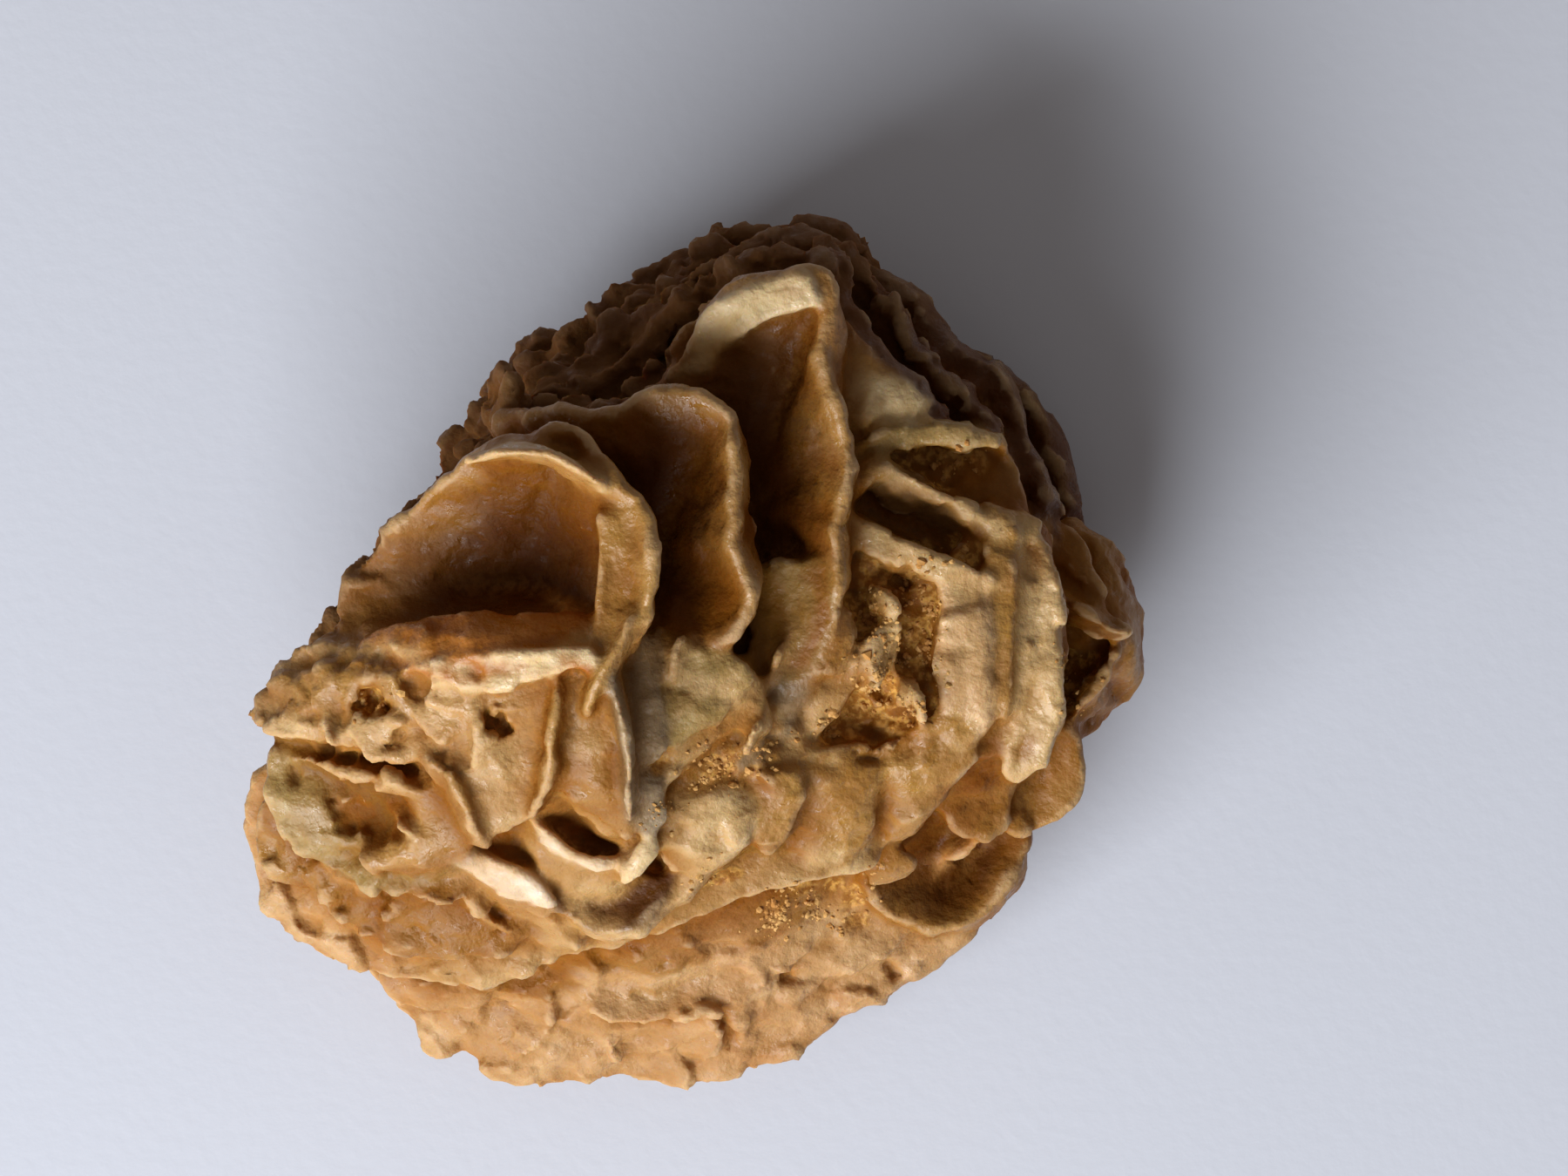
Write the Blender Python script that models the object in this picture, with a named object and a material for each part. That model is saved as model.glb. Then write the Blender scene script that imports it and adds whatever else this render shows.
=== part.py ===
"""Sand rose: a cluster of intergrown gypsum blades on a low disc, one solid.

Frame: metres, +Z up, the flat resting face at z = 0, the origin under the middle of the
bounding box, +X along the longest side. The tables below are in millimetres.

Each blade is a cupped sheet between a rim, a closed smooth curve through a few points, and a
hub, the point the sheet curves down (or up) to. Ribs are spindles along a path, slabs are
straight-edged crystal faces, and flank crystals are lens-shaped discs. They overlap, as the
crystals of a rose grow through each other, and a voxel remesh joins them into one skin.
"""
from math import cos, pi, radians, sin

import bmesh
import bpy
import numpy as np

MM = 0.001
NODE = "sand_rose"

# Driving dimensions, millimetres
VOXEL = 0.8               # cell of the remesh that joins the blades
TRIANGLES = 11000         # of the finished skin
RIM_POINTS = 72           # around a blade
RIM_RINGS = 9             # from a blade's hub to its rim
RIB_STEPS = 22            # along a rib
RIB_SIDES = 12            # around a rib
WEDGE = 2.6               # how late a blade thins towards its lip
SLAB_STEPS = 3            # points along each side of a slab
LENS_SIDES = 30           # around a flank crystal
LENS_EDGE = 0.30          # a flank crystal's edge over its middle thickness

# Blades: rim points (x, y, z), hub, cup (how late the sheet turns up), lip and heart thickness
BLADES = {
    # the mass in the middle and the disc it stands on
    "core": dict(
        rim=[(-28, -22, 9), (-18, -31, 9), (0, -33, 9), (15, -26, 9), (25, -14, 9), (29, 2, 9),
             (25, 16, 9), (14, 27, 9), (0, 30, 9), (-14, 22, 9), (-22, 10, 9), (-29, -6, 9)],
        hub=(-5, -2, 31), cup=2.2, lip=8, heart=38),
    "foot": dict(
        rim=[(-20, -12, 3), (-14, -20, 3), (-2, -23, 3), (12, -20, 3), (20, -10, 3), (23, 4, 3),
             (18, 17, 3), (6, 23, 3), (-8, 21, 3), (-18, 11, 3), (-22, 0, 3)],
        hub=(0, 0, 11), cup=3, lip=8, heart=17),
    "base_disc": dict(
        rim=[(-33, -21, 9), (-29.5, -27.5, 8), (-25.5, -32.5, 7), (-24.2, -36.3, 6.5),
             (-20, -35.8, 7), (-15, -38.9, 6), (-8, -38.2, 6.5), (2, -38, 7), (9.5, -35.4, 8),
             (14, -32.7, 8.5), (20.3, -29.3, 9), (25, -25, 9.5), (29, -19, 10), (31, -8, 10),
             (28, 6, 10), (16, 18, 10), (0, 23, 10), (-16, 16, 10), (-26, 0, 10)],
        hub=(-1, -11, 21), cup=1.8, lip=2.2, heart=21),
    "disc_step": dict(
        rim=[(-28, -28, 12.4), (-24, -31.8, 11), (-17, -31.2, 11.6), (-10.4, -33.6, 10.6),
             (-2, -33, 11.4), (5, -33.2, 11.2), (10, -30.6, 12.2), (17, -27, 12.6),
             (21, -22, 13), (16, -14, 15), (-4, -10, 16), (-22, -16, 15)],
        hub=(-4, -21, 18), cup=1.6, lip=1.8, heart=9),
    "disc_ridge": dict(
        rim=[(-20, -28.4, 14.5), (-13, -30.4, 13.6), (-7, -28.4, 14), (0, -29.6, 13),
             (7, -27.4, 13.4), (13, -25.2, 13.8), (17, -21, 14), (6, -15, 16), (-12, -18, 16)],
        hub=(-2, -23, 16.4), cup=1.5, lip=1.6, heart=8),
    # plates at the back, lowest first
    "back_low": dict(
        rim=[(15, 28, 12), (24, 27.4, 12), (29, 24.5, 12), (31.6, 21, 12), (32.2, 18, 13),
             (33.4, 14.5, 13.5), (34, 9, 14), (32, 1, 12), (24, 0, 12), (15, 10, 12)],
        hub=(24.5, 12, 9), cup=1.8, lip=2.6, heart=9),
    "back_plate": dict(
        rim=[(-28, 4, 17), (-26.4, 9.5, 15.5), (-24.3, 14, 14.5), (-22, 18.5, 14),
             (-18.3, 22.8, 13.5), (-17.8, 25, 13.5), (-13.2, 28, 13), (-9.4, 30, 13),
             (-8.8, 31.6, 13), (-3, 35, 13), (3, 37.6, 14), (7.5, 38.8, 14.5),
             (12.3, 38.7, 15), (16, 35.8, 17), (20, 31.8, 18), (23.5, 28.3, 19),
             (27, 25.8, 20), (28.7, 22.4, 21.5), (30.2, 17.8, 22.5), (32, 12.5, 22.5),
             (31.5, 7, 20), (26, 1, 18), (10, -2, 16), (-10, -3, 16), (-24, -2, 17)],
        hub=(7, 14, 14), cup=1.4, lip=2.4, heart=9),
    "back_middle": dict(
        rim=[(-25, 5, 24), (-23.6, 10.5, 22), (-20.5, 16, 20.5), (-17, 21, 19.5),
             (-13.5, 24.3, 19.5), (-8.5, 27.3, 20), (-5, 31.3, 20), (-1, 33.2, 20.5),
             (3, 35.6, 22), (8, 36.9, 23.5), (12.5, 35.8, 25), (16.3, 32.3, 25.5),
             (18.6, 29.6, 25.5), (21, 26, 25.5), (24, 22.8, 25.3), (27, 20, 24.7),
             (28, 15, 24), (22, 8, 21), (6, 3, 20), (-12, 2, 21)],
        hub=(5, 18, 18), cup=1.5, lip=2.0, heart=7),
    "back_top": dict(
        rim=[(-22, 12.5, 30), (-19.5, 17, 27.5), (-17, 21, 25.5), (-14, 23.6, 25.5),
             (-9, 24.5, 26), (-5, 27.5, 26.5), (-1, 31, 27.5), (2.6, 34.3, 29),
             (6, 35.4, 30), (10.8, 35.7, 30.5), (12.6, 33.6, 31), (13.8, 30.8, 31.5),
             (15.6, 28, 32), (17.6, 25.4, 32), (20.2, 23.4, 31.5), (21, 21.4, 30.5),
             (23, 19.5, 28.5), (18, 10, 27), (5, 6, 26), (-10, 6, 28)],
        hub=(4, 18, 23), cup=1.5, lip=1.8, heart=7),
    "back_slope": dict(
        rim=[(11.4, 34.4, 35.5), (13, 32, 34), (14.8, 28.4, 33), (17, 25.6, 32.4),
             (18.6, 24.2, 32), (17.4, 21.4, 31.5), (13.4, 19, 32), (12.4, 23, 33.4),
             (11.4, 28, 34.6)],
        hub=(13.8, 26, 33.4), cup=1.5, lip=1.4, heart=8),
    # the three big cupped blades
    "tall_petal": dict(
        rim=[(-1.6, 24.8, 33.5), (0.4, 28.3, 35.5), (2.2, 31.2, 37.5), (4.2, 32.8, 38.3),
             (8, 33.5, 38.8), (11.8, 33.8, 39), (11.9, 30.5, 38.8), (11.4, 27, 38.8),
             (12.6, 23, 39), (13.6, 18.5, 39), (13.4, 15, 39), (12.6, 11, 38.8),
             (12.9, 7, 38.4), (12.3, 2.5, 37.4), (10.6, -1.8, 35.8), (7.2, -2.2, 34),
             (4.5, 1, 33), (-2, 8, 32), (-5, 18, 31)],
        hub=(5, 14, 31), cup=1.2, lip=1.1, heart=6),
    "middle_petal": dict(
        rim=[(-17, 20.5, 34), (-12, 21.3, 38), (-6.5, 22, 41), (-3, 23.4, 42.3),
             (1, 23.6, 42.6), (2.9, 22.2, 43), (3.6, 18, 43.6), (3.5, 11, 43.6),
             (4.9, 5.8, 43), (4.5, 3, 42.2), (2.6, 1.2, 41.4), (0, 2.4, 40.4),
             (-4, 3, 38.5), (-9, 8, 36.5), (-14, 15, 35)],
        hub=(-2.6, 10, 35.6), cup=1.2, lip=1.1, heart=6),
    "great_bowl": dict(
        rim=[(-31, 3.6, 33.5), (-29, 7.6, 34.5), (-25.4, 12, 37), (-22, 14.6, 40),
             (-20, 16.2, 42), (-18, 18.3, 44), (-14, 19.2, 45.5), (-11, 20.1, 46),
             (-8.6, 18.7, 46.5), (-6.2, 15.4, 47), (-4.3, 13, 47.5), (-3.4, 9.5, 48),
             (-3.4, 6, 48), (-4, 3, 47.5), (-8, 2.6, 46), (-12, 2.6, 45),
             (-16, 2.4, 44), (-20, 1.6, 42), (-24, 1.2, 40), (-28, 1.6, 37)],
        hub=(-15.5, 7, 35.5), cup=1.25, lip=1.1, heart=6),
    "bowl_ledge": dict(
        rim=[(-30, 0.8, 36), (-26, 2.2, 40), (-21, 3, 43.6), (-15, 3.4, 45.8), (-10, 3, 46.6),
             (-7, 2, 46.8), (-7.6, -0.4, 46.6), (-11, -0.8, 46), (-15, -0.4, 45.6),
             (-20, -1.4, 43.6), (-26, -1.4, 39.6)],
        hub=(-16, 1.2, 46), cup=1.4, lip=1.6, heart=7),
    # the shoulder and terrace on the left
    "shoulder": dict(
        rim=[(-38.3, -4, 30.5), (-36.5, -1.2, 31), (-33, 1.4, 34), (-28, 1.6, 38),
             (-23, 0.8, 42), (-15, 1, 45), (-8, 1.5, 46), (-6.5, -3, 45), (-7, -8, 43),
             (-11, -10.5, 41), (-14.5, -14, 39), (-18, -14.5, 38.5), (-20.5, -10, 39.5),
             (-25, -8, 38.5), (-31, -6.7, 36)],
        hub=(-19, -4, 43), cup=1.4, lip=3.0, heart=14),
    "shoulder_step": dict(
        rim=[(-37.4, -2.4, 31.6), (-33.6, -0.4, 34.8), (-29, 0.2, 38.6), (-25.6, -1.2, 41.4),
             (-24.6, -4, 41), (-27, -6.2, 38.8), (-32, -5, 35.8)],
        hub=(-30.4, -2.8, 37.6), cup=1.4, lip=1.2, heart=6),
    "left_hollow": dict(
        rim=[(-36, -8, 31), (-31, -8.9, 33.6), (-26, -10, 35.6), (-21, -11.6, 37),
             (-18.8, -14, 36.6), (-19.5, -17, 35), (-22.5, -19, 33), (-26.5, -20.2, 31),
             (-31, -19, 29.4), (-35, -16, 29.6), (-36.6, -12, 30.4)],
        hub=(-28, -13.2, 32.2), cup=1.5, lip=1.8, heart=8),
    "hollow_slope": dict(
        rim=[(-24.6, -11, 36.4), (-21.4, -11.6, 38), (-19, -14.6, 37.4), (-20.6, -17.6, 35),
             (-25, -19, 33), (-29, -18, 32), (-28.6, -16.4, 31.4), (-25.6, -15, 32.6),
             (-24.6, -13, 34.4)],
        hub=(-22.4, -15, 36.4), cup=1.4, lip=1.4, heart=8),
    "left_low": dict(
        rim=[(-37.4, -9.6, 25), (-39.4, -12.8, 23.5), (-40, -15.6, 22), (-38.9, -18.8, 21),
             (-38, -22, 20.5), (-35, -24.6, 20), (-31, -26.4, 20), (-26, -27, 21),
             (-22, -25, 25), (-22, -22, 27), (-28, -20.5, 28), (-33, -17, 28),
             (-36, -12, 27)],
        hub=(-31.5, -21.8, 23), cup=1.4, lip=1.6, heart=8),
    "left_shelf": dict(
        rim=[(-38.6, -15.4, 25.6), (-37, -19, 25), (-33.4, -21.2, 25.2), (-30, -23.4, 24.6),
             (-26, -24.4, 25), (-23.6, -22.6, 27), (-28, -19.6, 28.6), (-33, -16.4, 28.6),
             (-36.4, -12.8, 28)],
        hub=(-31.6, -19.4, 26.8), cup=1.4, lip=1.2, heart=6),
    "long_rim": dict(
        rim=[(-34, -24.5, 20), (-29, -27.4, 20), (-24, -28.2, 21), (-18, -29, 22.4),
             (-14.3, -28.4, 23.6), (-9, -26.3, 25), (-4, -24.8, 25.8), (0.5, -22.6, 26.2),
             (6, -20.6, 26.2), (12, -19.8, 26), (16, -18.4, 25), (19, -13, 23),
             (18, -4, 22), (8, 6, 21), (-8, 9, 20), (-24, 4, 21), (-32, -4, 22),
             (-36, -14, 22)],
        hub=(-10, -11, 28.5), cup=2.2, lip=1.2, heart=8),
    "long_rim_upper": dict(
        rim=[(-27, -25.4, 24.8), (-21, -26.6, 25.4), (-16, -26, 26), (-12.4, -23.4, 27),
             (-13.4, -20.8, 29), (-20, -18.6, 31), (-26, -20.6, 29)],
        hub=(-19.6, -22.6, 28.4), cup=1.5, lip=1.2, heart=7),
    "wavy_rim": dict(
        rim=[(-21.6, -17, 33), (-19.5, -18, 33.3), (-17.6, -20, 32.3), (-14, -21.9, 31.5),
             (-11.8, -21.6, 31), (-9, -22.9, 30.8), (-6, -24, 30.2), (-3.6, -23.8, 30),
             (-1.6, -22, 30.4), (0.6, -20, 30.8), (2, -17, 31), (-2, -13, 31),
             (-10, -12, 32), (-18, -13.5, 32.5)],
        hub=(-8, -18, 27.4), cup=1.2, lip=1.1, heart=8),
    "terrace_bed": dict(
        rim=[(-35, -6, 30), (-33, -13, 29), (-30, -17, 29), (-22, -20, 31), (-14, -19, 31),
             (-9, -14, 34), (-10, -6, 38), (-18, -4, 39), (-28, -5, 34)],
        hub=(-20, -11, 36), cup=1.5, lip=3, heart=12),
    "crescent_bed": dict(
        rim=[(-19, -13, 34), (-15.5, -9, 36), (-10, -9, 37), (-7, -13, 35), (-9, -17.5, 31),
             (-15, -18, 31)],
        hub=(-13.4, -13.6, 34.5), cup=1.6, lip=3.0, heart=14),
    "crescent": dict(
        rim=[(-13.8, -13.8, 36.6), (-13.2, -15.6, 35.5), (-11, -17.1, 35), (-8.5, -18.1, 34.4),
             (-6, -18.2, 34), (-5.4, -16.4, 35.2), (-7.6, -14.7, 37.5), (-10, -12.6, 38.8),
             (-11.2, -11.2, 39.6), (-12.7, -12.2, 38.4)],
        hub=(-8.8, -15.8, 31), cup=1.3, lip=1.0, heart=6),
    "pointed_blade": dict(
        rim=[(-8.6, -4, 44), (-10.2, -7, 42.8), (-11.2, -9.4, 41.6), (-9.8, -12.2, 40.2),
             (-7.4, -14.4, 38.6), (-5.4, -16, 37.5), (-5, -11, 40), (-5.4, -6, 43),
             (-6.4, -3, 44.5)],
        hub=(-7.4, -9.4, 42.6), cup=1.4, lip=1.1, heart=7),
    # the translucent middle
    "middle_mass": dict(
        rim=[(-12, -2, 40), (-7, 3, 39), (-2, 5, 37), (4, 4, 33.6), (11, 0, 31.6),
             (16, 0, 29.6), (21, -2, 27.6), (23, -8, 25.6), (17, -14.5, 24.4), (8, -17, 26.4),
             (0, -18, 28.4), (-7, -16, 29), (-14, -15, 30), (-18, -12, 32), (-15, -6, 37)],
        hub=(1, -7, 32.4), cup=1.8, lip=4.0, heart=12),
    "right_fan": dict(
        rim=[(17.4, -14.6, 26), (19.4, -15.2, 26), (21.6, -13.4, 26), (23.6, -11, 27.6),
             (25.5, -8.4, 29), (24.4, -5.4, 31), (20.6, -5.6, 31.4), (17, -8.4, 30),
             (16.6, -12, 28)],
        hub=(20.6, -10, 29.2), cup=1.6, lip=1.4, heart=7),
    "rubble": dict(
        rim=[(13.6, 8, 32.4), (18, 8.4, 32), (21, 6, 31), (21.6, 0, 31), (21, -6, 29.6),
             (17, -8.4, 29), (12.6, -6.4, 30), (13.4, 0, 31.6)],
        hub=(17.4, 0.6, 30.8), cup=1.5, lip=2, heart=9),
    # the stack on the right
    "right_mass": dict(
        rim=[(13, 12, 31), (17, 18, 30), (22, 20, 28), (28, 17, 28), (31, 10, 27),
             (32, 3, 26), (31.5, -4, 24), (28.5, -10.5, 21), (22, -12.5, 23),
             (16, -11, 27), (13, -3, 30)],
        hub=(21, 3, 28.8), cup=2.2, lip=4.0, heart=17),
    "far_right": dict(
        rim=[(30.5, 10, 17), (33, 12, 17.4), (35.2, 11.5, 17.6), (36.2, 9, 17.6),
             (37.2, 5.5, 18), (38.6, 3, 18), (38.2, 0.6, 17), (36.2, -2.4, 16.4),
             (34.2, -5.6, 16), (32.8, -7.4, 16), (30, -6.5, 16), (28.5, 0, 16)],
        hub=(34, -0.4, 12), cup=1.2, lip=1.6, heart=8),
    "far_shelf": dict(
        rim=[(31, 10.6, 20), (33.6, 11.6, 20), (35.4, 9.4, 20), (36.6, 6, 20.2),
             (37.4, 3.6, 20), (34.6, 4, 21), (31.4, 6, 21.6)],
        hub=(33.6, 7.6, 20.6), cup=1.4, lip=1.2, heart=7),
    "round_petal_left": dict(
        rim=[(22.8, -13.2, 21.5), (24.2, -15.1, 20), (26, -16.3, 19), (27.6, -15.6, 18.5),
             (28.6, -13.8, 19), (28.8, -11, 20.5), (27.4, -9, 22), (24.4, -9, 23),
             (22.6, -10.8, 22.6)],
        hub=(26, -12, 20.6), cup=1.5, lip=1.8, heart=8),
    "round_petal_right": dict(
        rim=[(27.4, -14.8, 17.6), (30, -15.7, 17), (32, -14.7, 17), (33.6, -12.6, 17),
             (34.8, -10, 17.6), (34.3, -7.2, 18.6), (31.8, -6.4, 20), (29, -8.4, 20),
             (27.4, -11.6, 19)],
        hub=(30.6, -10.8, 17.2), cup=1.5, lip=1.8, heart=7),
    "low_petal": dict(
        rim=[(15.6, -18.4, 19), (16.8, -21, 17.2), (18.4, -22.9, 16), (20.6, -24.1, 15),
             (24, -23.3, 14.3), (27.2, -21.5, 14), (29.2, -19, 14), (30.7, -15.4, 14),
             (28.5, -13, 15), (24, -13, 17), (19, -15.4, 19)],
        hub=(24.4, -18.4, 11.8), cup=1.2, lip=1.4, heart=7),
    "low_petal_slab": dict(
        rim=[(15.2, -17.6, 22.4), (17.4, -17, 22.4), (20.2, -17.6, 21), (19.8, -19, 19.6),
             (17.6, -19.8, 19.4), (15.8, -20, 20)],
        hub=(17.6, -18.4, 21.8), cup=1.4, lip=1.1, heart=6),
}

# Ribs: path points (x, y, z), width across and depth down
RIBS = {
    "bowl_crest": dict(path=[(-19.5, 17.2, 45.2), (-15.6, 18.2, 46.4), (-12, 17.7, 46.8),
                             (-9, 16.2, 46.8), (-6.8, 14.8, 46.8)], width=1.5, depth=7),
    "bowl_side": dict(path=[(-5.4, 12.4, 46.8), (-6.6, 9, 47), (-7.2, 5.5, 47),
                            (-8.2, 1.6, 46.8)], width=1.6, depth=6),
    "side_rib": dict(path=[(-4, 5, 46.4), (-5.6, 2, 46), (-7.4, -1, 45.4),
                           (-9, -5, 43.8)], width=1.7, depth=5),
    "inner_rib": dict(path=[(-6.6, 0, 44.4), (-6, -4, 43.4), (-5.2, -9, 41.4),
                            (-5, -14, 39)], width=1.5, depth=8),
    "shoulder_rib": dict(path=[(-10.8, -1.5, 44.4), (-11.6, -6, 43.4), (-12, -10, 41.4),
                               (-13.4, -13.4, 38.6)], width=2.0, depth=5),
    "terrace_crest": dict(path=[(-23, -7.4, 40.4), (-20.6, -9.4, 40.2), (-19, -12, 39.6),
                                (-18.3, -14.4, 38.2), (-18, -16.6, 36.4)], width=2.0, depth=5),
    "far_ridge": dict(path=[(31.6, 6.8, 21), (34.6, 4.8, 21), (37, 3.2, 20),
                            (38.8, 2.6, 18.4)], width=1.6, depth=5),
    "far_lip": dict(path=[(38.4, 1.8, 18), (36.6, -2, 17.2), (34.4, -5, 16.8),
                          (32.2, -7.6, 17)], width=1.6, depth=5),
    "knob": dict(path=[(-16, 24.4, 26), (-15.6, 22.2, 28), (-16.6, 19.4, 28.4)],
                 width=3.2, depth=9),
}

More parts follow.
